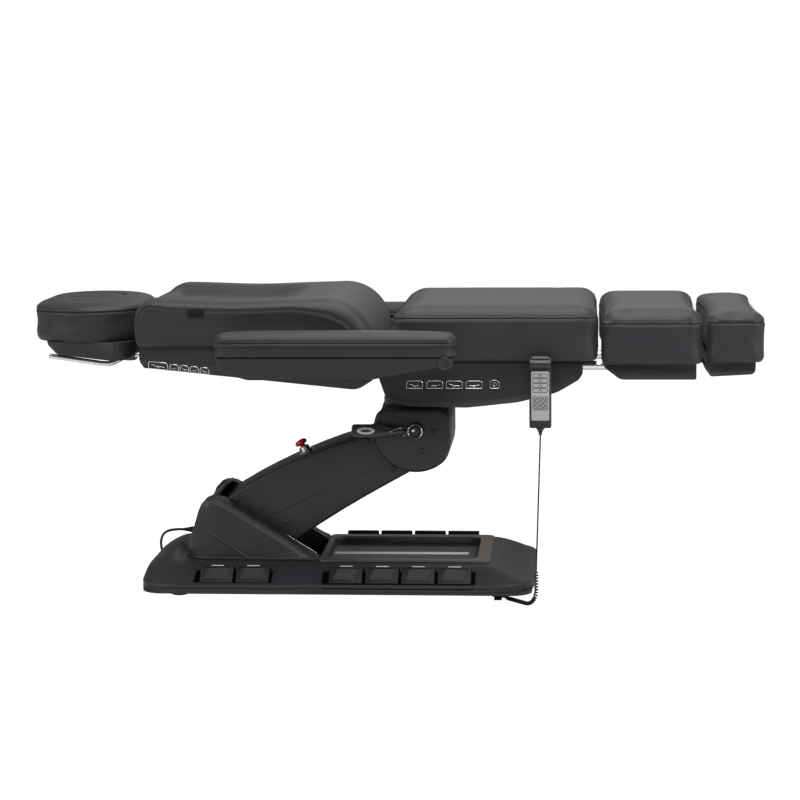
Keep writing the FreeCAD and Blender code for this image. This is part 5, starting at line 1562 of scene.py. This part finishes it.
def column_shell():
    steps = [(0.1700, 0.0200), (0.1695, 0.0178), (0.1590, 0.0022), (0.1570, 0.0004), (0.150, 0.0),
             (0.140, 0.0), (0.128, 0.0), (0.114, 0.0), (0.100, 0.0)]
    rows = mirrored([(y, cheek_section(y, drop)) for y, drop in steps])
    rings = [[Vector((p.x, y, p.y)) for p in outline] for y, outline in rows]
    cheeks = bare("column_cheeks", *bands(rings))
    slot = cutter("arm_slot", -0.533, -0.150, -arm_slot_half, arm_slot_half, 0.080, 0.40)
    carve(cheeks, [slot], "base", base_plastic, 28.0)
    hood_line = [(-0.556, column_base), (-0.550, 0.150), (-0.531, 0.200), (-0.512, 0.232), (-0.490, 0.254),
                 (-0.470, 0.2695), (-0.460, 0.2745), (-0.446, 0.2745), (-0.441, 0.262), (-0.438, column_base)]
    hood_outline = filleted(hood_line, [0.001, 0.03, 0.03, 0.03, 0.03, 0.02, 0.006, 0.005, 0.008, 0.001], 4)
    inner_line = [(-0.546, 0.080), (-0.541, 0.150), (-0.523, 0.196), (-0.505, 0.2265), (-0.484, 0.2480),
                  (-0.461, 0.2665), (-0.430, 0.292), (-0.400, 0.292), (-0.400, 0.080)]
    hood = bare("column_hood", *bands(arched(hood_outline, hood_half)))
    mouth_line = [(-0.508, 0.080), (-0.508, 0.227), (-0.466, 0.263), (-0.466, 0.330), (-0.400, 0.330),
                  (-0.400, 0.080)]
    mouth_rings = [[Vector((x, y, z)) for x, z in mouth_line] for y in (-mouth_half, mouth_half)]
    mouth = bare("hood_mouth", *bands(mouth_rings))
    hollow = bare("hood_hollow", *bands(arched([Vector(p) for p in inner_line], hollow_half)))
    carve(hood, [hollow, mouth], "base", base_plastic, 30.0)
    parts = [cheeks, hood]
    for side, sign in both_sides:
        crease = []
        for x, z in ((-0.529, 0.1885), (-0.518, 0.181), (-0.495, 0.167), (-0.460, 0.145),
                     (-0.418, 0.117), (-0.396, 0.102), (-0.384, 0.0935)):
            past = max(0.0, column_back + column_corner - x)
            y = column_half - column_corner + math.sqrt(max(column_corner ** 2 - past ** 2, 0.0))
            crease.append((x, sign * (y - 0.0006), z))
        parts.append(strand(side + "_crease", "base", crease, crease_radius, base_plastic))
        # Thin chrome strand along the cheek's inner edge: a painted highlight on the edge of the plastic
        # cheek
        edge_highlight_line = ((-0.290, 0.148), (-0.250, 0.1235), (-0.212, 0.1004))
        edge = [(x, sign * 0.1145, z + 0.0002) for x, z in edge_highlight_line]
        parts.append(strand(side + "_edge", "base", edge, edge_highlight_radius, chrome))
        skirt_level = column_base + 0.003
        skirt = [(-0.210, sign * column_half, skirt_level)]
        for k in range(13):
            angle = math.pi / 2 * k / 12
            skirt.append((column_back + column_corner * (1 - math.sin(angle)),
                          sign * (column_half - column_corner * (1 - math.cos(angle))), skirt_level))
        parts.append(strand(side + "_skirt", "base", skirt, skirt_radius, base_plastic))
    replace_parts(merged("column_shell", parts), "column_cover")


# Lift arm, drawn along its own length from its foot pivot
arm_foot = Vector((-0.428, 0.0, 0.150))
arm_lean = math.radians(30.3)
arm_half = 0.105
arm_end = 0.486
arm_round = 0.095
arm_crest = [(0.0, arm_round), (0.05, 0.0985), (0.104, 0.099), (0.155, 0.0968), (0.206, 0.093),
             (0.255, 0.0878), (0.3056, 0.081), (0.355, 0.0722), (0.401, 0.062), (arm_end, 0.047)]
arm_belly = [(arm_end, -0.090), (0.420, -0.0885), (0.355, -0.0875), (0.288, -0.0878), (0.215, -0.0905),
             (0.143, -0.0935), (0.07, -0.0948), (0.0, -arm_round)]
screw_radius = 0.0078


def on_arm(p):
    """Point of the arm's own frame (along, across, up), set at its rest angle."""
    return Vector((arm_foot.x + p.x * math.cos(arm_lean) - p.z * math.sin(arm_lean), p.y,
                   arm_foot.z + p.x * math.sin(arm_lean) + p.z * math.cos(arm_lean)))


def arm_shell():
    foot = []
    for k in range(1, 18):
        angle = -math.pi / 2 - math.pi * k / 18
        foot.append((arm_round * math.cos(angle), arm_round * math.sin(angle)))
    outline = [Vector(p) for p in arm_crest + arm_belly + foot]
    ladder = [(arm_half, 0.0065), (arm_half - 0.0005, 0.0052), (arm_half - 0.0046, 0.0010),
              (arm_half - 0.0065, 0.0)]
    parts = [slab("arm_shell", "lift_arm", outline, mirrored(ladder), base_plastic, on_arm, 30.0)]
    lower = [(0.062, 0.030), (0.075, 0.0205), (0.086, 0.0222), (0.098, 0.0200), (0.109, 0.0110),
             (0.119, -0.0050), (0.136, -0.0092), (0.200, -0.0132), (0.262, -0.0190), (0.331, -0.0262),
             (0.395, -0.0345), (0.453, -0.0440)]
    upper = [(0.478, -0.040), (0.478, 0.0365), (0.401, 0.0515), (0.355, 0.0617), (0.3056, 0.0705),
             (0.255, 0.0773), (0.206, 0.0825), (0.155, 0.0863), (0.104, 0.0885), (0.072, 0.0880)]
    panel = [Vector(p) for p in lower + upper]
    for side, sign in both_sides:
        rise = [(sign * (arm_half - 0.001), 0.0), (sign * (arm_half + 0.0006), 0.0),
                (sign * (arm_half + 0.0014), 0.0010), (sign * (arm_half + 0.0016), 0.0024)]
        parts.append(slab(side + "_arm_panel", "lift_arm", panel, rise, base_plastic, on_arm, 30.0))
    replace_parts(merged("arm_shell", parts), "arm_cover")


def button_screw(name, body, spot, sign):
    """Button-head screw with a socket, facing out on its side."""
    shares = [(0.55, -0.002), (1.0, -0.002), (1.0, 0.0004), (0.94, 0.0018), (0.74, 0.0032), (0.50, 0.0038),
              (0.46, 0.0036), (0.44, 0.0020), (0.05, 0.0020)]
    profile = [(screw_radius * share, height) for share, height in shares]
    return turned(name, body, profile, spot, (0, sign, 0), dark_steel, 24)


def arm_bolts():
    bolts = []
    for k, (along, up) in enumerate(((0.049, 0.079), (0.134, -0.039), (0.431, 0.0405), (0.457, -0.060))):
        for side, sign in both_sides:
            spot = on_arm(Vector((along, sign * (arm_half + 0.0012), up)))
            bolts.append(button_screw("%s_bolt_%d" % (side, k), "lift_arm", spot, sign))
    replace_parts(merged("arm_bolts", bolts), "arm_screws")


def stop_switch():
    up = on_arm(Vector((0, 0, 1))) - on_arm(Vector((0, 0, 0)))
    spot = on_arm(Vector((0.259, 0.0, 0.0868)))
    collar_profile = [(0.014, -0.004), (0.0200, -0.004), (0.0200, 0.0036), (0.0188, 0.0052), (0.0162, 0.0056),
                      (0.0150, 0.0062), (0.0146, 0.0175), (0.0120, 0.0180), (0.0090, 0.0180)]
    collar = turned("stop_ring", "lift_arm", collar_profile, spot, up, chrome)
    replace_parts(collar, "stop_collar")
    head_profile = [(0.0078, -0.004), (0.0078, 0.0236), (0.0120, 0.0240), (0.0158, 0.0258), (0.0172, 0.0284),
                    (0.0170, 0.0310), (0.0152, 0.0344), (0.0118, 0.0366), (0.0070, 0.0378), (0.0008, 0.0380)]
    head = turned("stop_mushroom", "stop_button", head_profile, spot, up, stop_red)
    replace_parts(head, "stop_button")


# Head housing, its bolts and the swivel lever
hub = Vector((0.05637, 0.0, 0.43304))
housing_half = 0.130


def curved(start, pull, end, steps=6):
    """Points of a smooth turn from start to end, drawn towards pull."""
    spots = []
    for k in range(1, steps):
        t = k / steps
        triples = zip(start, pull, end)
        spots.append(tuple((1 - t) ** 2 * a + 2 * t * (1 - t) * b + t * t * c for a, b, c in triples))
    return [start] + spots + [end]


def housing_outline():
    """Round housing with a flat foot-end side and a chamfered top."""
    radius = 0.112
    right = 0.1495
    arc = [math.radians(158.0 + 152.0 * k / 26) for k in range(27)]
    line = [(hub.x + radius * math.cos(a), hub.z + radius * math.sin(a)) for a in arc]
    line = line[:-1] + curved(line[-1], (right - 0.002, 0.364), (right, 0.404))
    line += curved((right, 0.455), (right, 0.480), (0.122, 0.492))
    line += curved((-0.012, 0.492), (-0.030, 0.492), (-0.044, 0.4795), 4)
    return [Vector(p) for p in line]


def hub_housing():
    outline = housing_outline()
    rows = [(housing_half, 0.010), (housing_half - 0.0006, 0.0072), (housing_half - 0.0028, 0.0030),
            (housing_half - 0.0062, 0.0007), (housing_half - 0.0095, 0.0)]
    rings = [[Vector((p.x, y, p.y)) for p in drawn_in(outline, inset)] for y, inset in mirrored(rows)]
    made = bare("housing_shell", *bands(rings))
    mouth = cutter("housing_mouth", -0.20, 0.139, -0.1085, 0.1085, 0.20, 0.4845)
    carve(made, [mouth], "head", base_plastic, 30.0)
    parts = [made]
    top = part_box("head_housing")[1].z
    foot = (hub.x, 0, 0)
    spigot = turned("housing_spigot", "head", [(0.030, 0.486), (0.030, top)], foot, (0, 0, 1), dark_steel)
    crown_profile = [(0.090, 0.480), (0.088, 0.4938), (0.030, 0.4938)]
    crown = turned("housing_crown", "head", crown_profile, foot, (0, 0, 1), base_plastic)
    shaft = turned("housing_shaft", "head", [(0.015, -0.112), (0.015, 0.112)], hub, (0, 1, 0), dark_steel)
    link_reach = 0.050
    link_angle = math.radians(-70)
    pin_spot = hub + Vector((link_reach * math.cos(link_angle), 0, link_reach * math.sin(link_angle)))
    pin = turned("link_pin", "head", [(0.006, -0.022), (0.006, 0.022)], pin_spot, (0, 1, 0), dark_steel, 20)
    lug_half = 0.010
    lug_end = 0.145
    lug = filleted([(pin_spot.x - lug_half, pin_spot.z - lug_half), (lug_end, pin_spot.z - lug_half),
                    (lug_end, pin_spot.z + lug_half), (pin_spot.x - lug_half, pin_spot.z + lug_half)],
                   [0.009, 0.001, 0.001, 0.009], 4)
    for k, sign in enumerate((-1.0, 1.0)):
        ends = sorted((sign * 0.014, sign * 0.022))
        parts.append(slab("link_lug_%d" % k, "head", lug, [(y, 0.0) for y in ends], dark_steel))
    boss_spot = hub + Vector((0, -housing_half, 0))
    boss = turned("lever_boss", "head", [(0.010, 0.0), (0.010, 0.011)], boss_spot, (0, -1, 0), dark_steel)
    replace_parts(merged("housing_shell", parts + [spigot, crown, shaft, pin, boss]), "head_housing")
    bolts = []
    for k, (dx, dz) in enumerate(((0.051, -0.002), (0.018, -0.053))):
        for side, sign in both_sides:
            spot = hub + Vector((dx, sign * housing_half, dz))
            bolts.append(button_screw("%s_cap_%d" % (side, k), "head", spot, sign))
    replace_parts(merged("housing_bolts", bolts), "housing_screws")


def lock_lever():
    """Strap handle on a chrome wire that closes in an eye round the hub."""
    body = "swivel_lever"
    outward = (0, -1, 0)
    face = -housing_half - 0.0005
    hub_profile = [(0.0102, 0.0), (0.0215, 0.0), (0.0215, 0.0060), (0.0200, 0.0080), (0.0150, 0.0088),
                   (0.0140, 0.0120), (0.0125, 0.0140), (0.0010, 0.0142)]
    hub_ring = turned("lever_hub", body, hub_profile, hub + Vector((0, face, 0)), outward, dark_steel)
    depth = face - 0.012
    handle_corners = [(-0.031, -0.007), (-0.031, 0.007), (-0.103, 0.018), (-0.167, 0.018), (-0.167, -0.018),
                      (-0.103, -0.018)]
    outline = [Vector((hub.x + p.x, hub.z + p.y + 0.002)) for p in
               filleted(handle_corners, [0.004, 0.004, 0.050, 0.010, 0.010, 0.050], 5)]
    rows = [(depth - 0.0120, 0.0035), (depth - 0.0112, 0.0014), (depth - 0.0092, 0.0), (depth - 0.0028, 0.0),
            (depth - 0.0008, 0.0014), (depth, 0.0035)]
    grip = slab("lever_grip", body, outline, rows, handset_plastic)
    inlay_x = hub.x - 0.1290
    inlay_z = hub.z + 0.0035
    inlay_steps = 28
    oval_line = []
    for k in range(inlay_steps):
        angle = 2 * math.pi * k / inlay_steps
        oval_line.append(Vector((inlay_x + 0.0250 * math.cos(angle),
                                 inlay_z + 0.0098 * math.sin(angle) * abs(math.sin(angle)) ** 0.15)))
    inlay_rows = [(depth - 0.0132, 0.0022), (depth - 0.0128, 0.0006), (depth - 0.0110, 0.0)]
    inlay = slab("lever_inlay", body, oval_line, inlay_rows, keypad_silver)
    slit = [Vector((inlay_x + (o.x - inlay_x) * 0.62, inlay_z + (o.y - inlay_z) * 0.50)) for o in oval_line]
    slit_rows = [(depth - 0.0136, 0.0012), (depth - 0.0125, 0.0)]
    inset = slab("lever_slit", body, slit, slit_rows, handset_plastic)
    wires = []
    for k, lift in enumerate((1.0, -1.0)):
        spots = [(-0.066, 0.0), (-0.054, 0.0060 * lift), (-0.040, 0.0100 * lift), (-0.029, 0.0105 * lift),
                 (-0.0205, 0.0085 * lift), (-0.0165, 0.0060 * lift)]
        wire = [(hub.x + x, depth - 0.0122, hub.z + 0.001 + z) for x, z in spots]
        wires.append(strand("lever_wire_%d" % k, body, wire, 0.0016, chrome))
    eye_radius = 0.0185
    eye_steps = 32
    eye = [(hub.x + eye_radius * math.cos(a), depth - 0.0030, hub.z + eye_radius * math.sin(a))
           for a in [2 * math.pi * k / eye_steps for k in range(eye_steps)]]
    wires.append(strand("lever_eye", body, eye, 0.0020, chrome, closed=True))
    post_profile = [(0.0045, 0.0), (0.0045, 0.012), (0.0030, 0.0135), (0.0004, 0.0138)]
    post_spot = hub + Vector((-0.005, depth + 0.006, 0.004))
    post = turned("lever_post", body, post_profile, post_spot, outward, chrome, 20)
    neck_line = [(hub.x - 0.012, face - 0.006, hub.z), (hub.x - 0.040, depth - 0.003, hub.z + 0.001),
                 (hub.x - 0.072, depth - 0.006, hub.z + 0.002)]
    neck = strand("lever_neck", body, neck_line, 0.0042, handset_plastic)
    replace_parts(merged("lock_lever", [hub_ring, grip, inlay, inset, post, neck] + wires), "swivel_lever")


# Handset with its keypad
def across_x(p):
    """Side outline of (y, z) carried along x instead of across the width."""
    return Vector((p.y, p.x, p.z))


def handset_shell():
    low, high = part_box("handset_case")
    bottom = 0.474
    left, right, top = low.x, high.x, high.z
    back, front = high.y, low.y
    corners = [(left, bottom), (right, bottom), (right, top), (left, top)]
    outline = filleted(corners, [0.006, 0.006, 0.012, 0.012], 6)
    ladder = [(front, 0.006), (front + 0.0008, 0.0032), (front + 0.003, 0.0010), (front + 0.006, 0.0),
              (back - 0.004, 0.0), (back - 0.001, 0.0012), (back, 0.003)]
    sections = [(y, drawn_in(outline, inset)) for y, inset in ladder]
    case = across("handset_body", "handset", sections, handset_plastic, 40.0)
    middle = (left + right) / 2
    parts = [case]
    ridge_deep = 0.012
    ridge_half = 0.0125
    ridge_steps = 8
    ridge = []
    for k in range(ridge_steps + 1):
        angle = math.pi * k / ridge_steps
        ridge.append(Vector((front + 0.006 - ridge_deep * math.sin(angle),
                             top - 0.020 - ridge_half * math.cos(angle))))
    ridge_rows = [(left + 0.001, 0.003), (left + 0.0025, 0.0006), (left + 0.006, 0.0), (right - 0.006, 0.0),
                  (right - 0.0025, 0.0006), (right - 0.001, 0.003)]
    parts.append(slab("handset_ridge", "handset", ridge, ridge_rows, handset_plastic, across_x, 40.0))
    pad_left, pad_right = left + 0.0055, right - 0.0055
    pad_low, pad_top = bottom + 0.0205, top - 0.0385
    pad_line = plan_outline(pad_left, pad_right, pad_low, pad_top, 0.0035, 5)
    face = front - 0.0012
    pad_rows = [(face, drawn_in(pad_line, 0.0006)), (front - 0.0008, pad_line), (front + 0.001, pad_line)]
    parts.append(across("handset_pad", "handset", pad_rows, keypad_silver))

    def key(number, x0, x1, z0, z1):
        round_ends = min(x1 - x0, z1 - z0) * 0.45
        line = [(p.x, face, p.y) for p in plan_outline(x0, x1, z0, z1, round_ends, 4)]
        parts.append(strand("handset_key_%d" % number, "handset", line, 0.0008, key_line, closed=True,
                            sides=4))
        arrow = (x1 - x0) * 0.14
        height = (z1 - z0) * 0.24
        x, z = (x0 + x1) / 2, (z0 + z1) / 2
        sketch = [(x - arrow, face, z - height), (x, face, z + height), (x + arrow, face, z - height)]
        parts.append(strand("handset_sign_%d" % number, "handset", sketch, 0.0009, key_line, sides=4))

    inset = 0.0035
    tall = 0.0098
    pitch = 0.0124
    number = 0
    z = pad_top - 0.0050
    for _ in range(4):
        key(number, pad_left + inset, pad_right - inset, z - tall, z)
        number += 1
        z -= pitch
    small_gap = 0.0022
    small_tall = 0.0100
    z -= 0.0085
    width = (pad_right - pad_left - 2 * inset - 2 * small_gap) / 3
    for _ in range(3):
        for column in range(3):
            x0 = pad_left + inset + column * (width + small_gap)
            key(number, x0, x0 + width, z - small_tall, z)
            number += 1
        z -= small_tall + small_gap
    relief = [(0.0108, 0.0), (0.0105, -0.003), (0.0082, -0.0052), (0.0070, -0.0065), (0.0070, -0.008),
              (0.0060, -0.0085), (0.0060, -0.010), (0.0055, -0.0105), (0.0055, -0.012), (0.0048, -0.0125),
              (0.0048, -0.014), (0.0036, -0.019), (0.0024, -0.019)]
    relief_spot = (cord_top[0], cord_top[1], bottom + 0.0005)
    parts.append(turned("handset_relief", "handset", relief, relief_spot, (0, 0, 1), handset_plastic, 24))
    slot_half = 0.005
    slot_plan = [(middle - slot_half, back - 0.006), (middle + slot_half, back - 0.006),
                 (middle + slot_half, back + 0.002), (middle - slot_half, back + 0.002)]
    slot_rings = [[Vector((x, y, z)) for x, y in slot_plan] for z in (bottom - 0.001, 0.617)]
    carve(case, [bare("handset_slot", *bands(slot_rings))], "handset", handset_plastic, 40.0)
    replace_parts(merged("handset_body", parts), "handset_case")


# Knobs and floor feet
def knobs():
    low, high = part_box("headrest_knob")
    spot = ((low.x + high.x) / 2, 0.0, low.z)
    stem = high.z - low.z
    profile = [(0.0010, 0.0), (0.0130, 0.0006), (0.0180, 0.0030), (0.0205, 0.0075), (0.0208, 0.0130),
               (0.0195, 0.0190), (0.0170, 0.0216), (0.0060, 0.0217), (0.0060, stem)]
    knob = turned("head_knob", "headrest_knob", profile, spot, (0, 0, 1), handset_plastic)
    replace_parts(knob, "headrest_knob")
    low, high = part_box("leg_knob")
    spot = ((low.x + high.x) / 2, (low.y + high.y) / 2, low.z)
    stem = high.z - low.z
    profile = [(0.0010, 0.0), (0.0085, 0.0006), (0.0108, 0.0030), (0.0118, 0.0070), (0.0112, 0.0115),
               (0.0090, 0.0137), (0.0040, 0.0138), (0.0040, stem)]
    knob = turned("slide_knob", "leg_knob", profile, spot, (0, 0, 1), handset_plastic, 28)
    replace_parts(knob, "leg_knob")


def round_feet():
    low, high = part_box("floor_feet")
    reach = 0.024
    profile = [(0.0200, 0.0), (0.0228, 0.0012), (0.0238, 0.004), (0.0238, 0.011), (0.0222, 0.0130),
               (0.0210, 0.0135), (0.0210, 0.0275), (0.0080, 0.0275)]
    feet = []
    for x in (low.x + reach, high.x - reach):
        for y in (low.y + reach, high.y - reach):
            feet.append(turned("foot_%d" % len(feet), "base", profile, (x, y, 0.0), (0, 0, 1), foot_rubber))
    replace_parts(merged("round_feet", feet), "floor_feet")


# Stage, light and camera
white = (1.0, 1.0, 1.0, 1.0)
floor_grey = (0.62, 0.62, 0.62, 1.0)
floor_reach = 40.0
floor_gap = 0.0002
floor_glow = 1.42
camera_share = 0.72
glossy_share = 0.10
sky_light = 0.15
lamps = [("top_light", (0.3, -0.4, 3.2), (0.0, 0.0, 0.5), 3.0, 100.0),
         ("front_light", (0.4, -3.0, 3.3), (0.0, 0.0, 0.3), 2.2, 50.0),
         ("left_light", (-2.8, -1.8, 1.8), (-0.1, 0.0, 0.3), 1.8, 38.0),
         ("right_light", (2.9, -1.2, 1.7), (0.3, 0.0, 0.3), 1.8, 46.0),
         ("back_light", (0.4, 3.2, 2.8), (0.0, 0.0, 0.6), 2.6, 14.0)]


def pale_floor():
    """Pale ground that keeps the shadow and shows near white to the camera."""
    reach = floor_reach
    floor = bpy.data.meshes.new("floor")
    floor.from_pydata([(-reach, -reach, 0), (reach, -reach, 0), (reach, reach, 0), (-reach, reach, 0)], [],
                      [(0, 1, 2, 3)])
    ground = placed("floor", floor)
    ground.location.z = -floor_gap
    material = bpy.data.materials.new("pale_floor")
    sheet = cleared(material)
    lit = sheet.node("ShaderNodeBsdfDiffuse", {}, {"Color": floor_grey})
    glow = sheet.node("ShaderNodeEmission", {}, {"Color": white, "Strength": floor_glow})
    seen = sheet.node("ShaderNodeLightPath", output="Is Camera Ray")
    reflected = sheet.node("ShaderNodeLightPath", output="Is Glossy Ray")
    share = seen * camera_share + reflected * glossy_share
    mix = sheet.node("ShaderNodeMixShader", {}, {0: share, 1: lit, 2: glow})
    sheet.node("ShaderNodeOutputMaterial", {}, {"Surface": mix})
    floor.materials.append(material)


def studio_light():
    """White surround, dim as a light, and five soft lamps."""
    world = bpy.data.worlds.new("studio")
    bpy.context.scene.world = world
    sky = cleared(world)
    seen = sky.node("ShaderNodeLightPath", output="Is Camera Ray")
    strength = sky_light + seen * (1 - sky_light)
    glow = sky.node("ShaderNodeBackground", {}, {"Color": white, "Strength": strength})
    sky.node("ShaderNodeOutputWorld", {}, {"Surface": glow})
    for name, spot, aim, size, watts in lamps:
        lamp = bpy.data.lights.new(name, "AREA")
        lamp.size = size
        lamp.energy = watts
        holder = placed(name, lamp)
        holder.location = spot
        holder.rotation_euler = (Vector(aim) - Vector(spot)).to_track_quat("-Z", "Y").to_euler()


camera_spot = (0.4768, -6.1105, 1.3245)
camera_lens = 103.4
camera_pitch = 0.1341
camera_yaw = 0.0768
camera_roll = -0.0092


def photo_camera():
    """Camera on the near side, towards the foot end, looking a little down and to the left."""
    camera = bpy.data.cameras.new("photo_camera")
    camera.lens = camera_lens
    camera.sensor_width = 36.0
    holder = placed("photo_camera", camera)
    holder.location = camera_spot
    aim = Matrix.Rotation(camera_yaw, 3, "Z") @ Matrix.Rotation(math.pi / 2 - camera_pitch, 3, "X")
    holder.rotation_euler = (aim @ Matrix.Rotation(camera_roll, 3, "Z")).to_euler()
    bpy.context.scene.camera = holder


def dress_solids():
    """Gives every solid the finish of its slot."""
    for part in frame["record"]["subparts"]:
        made = frame["nodes"][part["node"]]
        made.data.materials.clear()
        made.data.materials.append(slot_finish[part["material_slot"]])


dress_solids()
bed_cushions()
backrest()
headrest()
back_tag()
seat_skirt()
back_skirt()
leg_skirts()
head_shell()
head_rails()
arm_shells()
shell_keys()
base_shell()
deck_dish()
foot_pedals()
column_shell()
arm_shell()
arm_bolts()
stop_switch()
hub_housing()
lock_lever()
handset_shell()
knobs()
round_feet()
pale_floor()
studio_light()
photo_camera()
bpy.context.scene.view_settings.view_transform = "Standard"
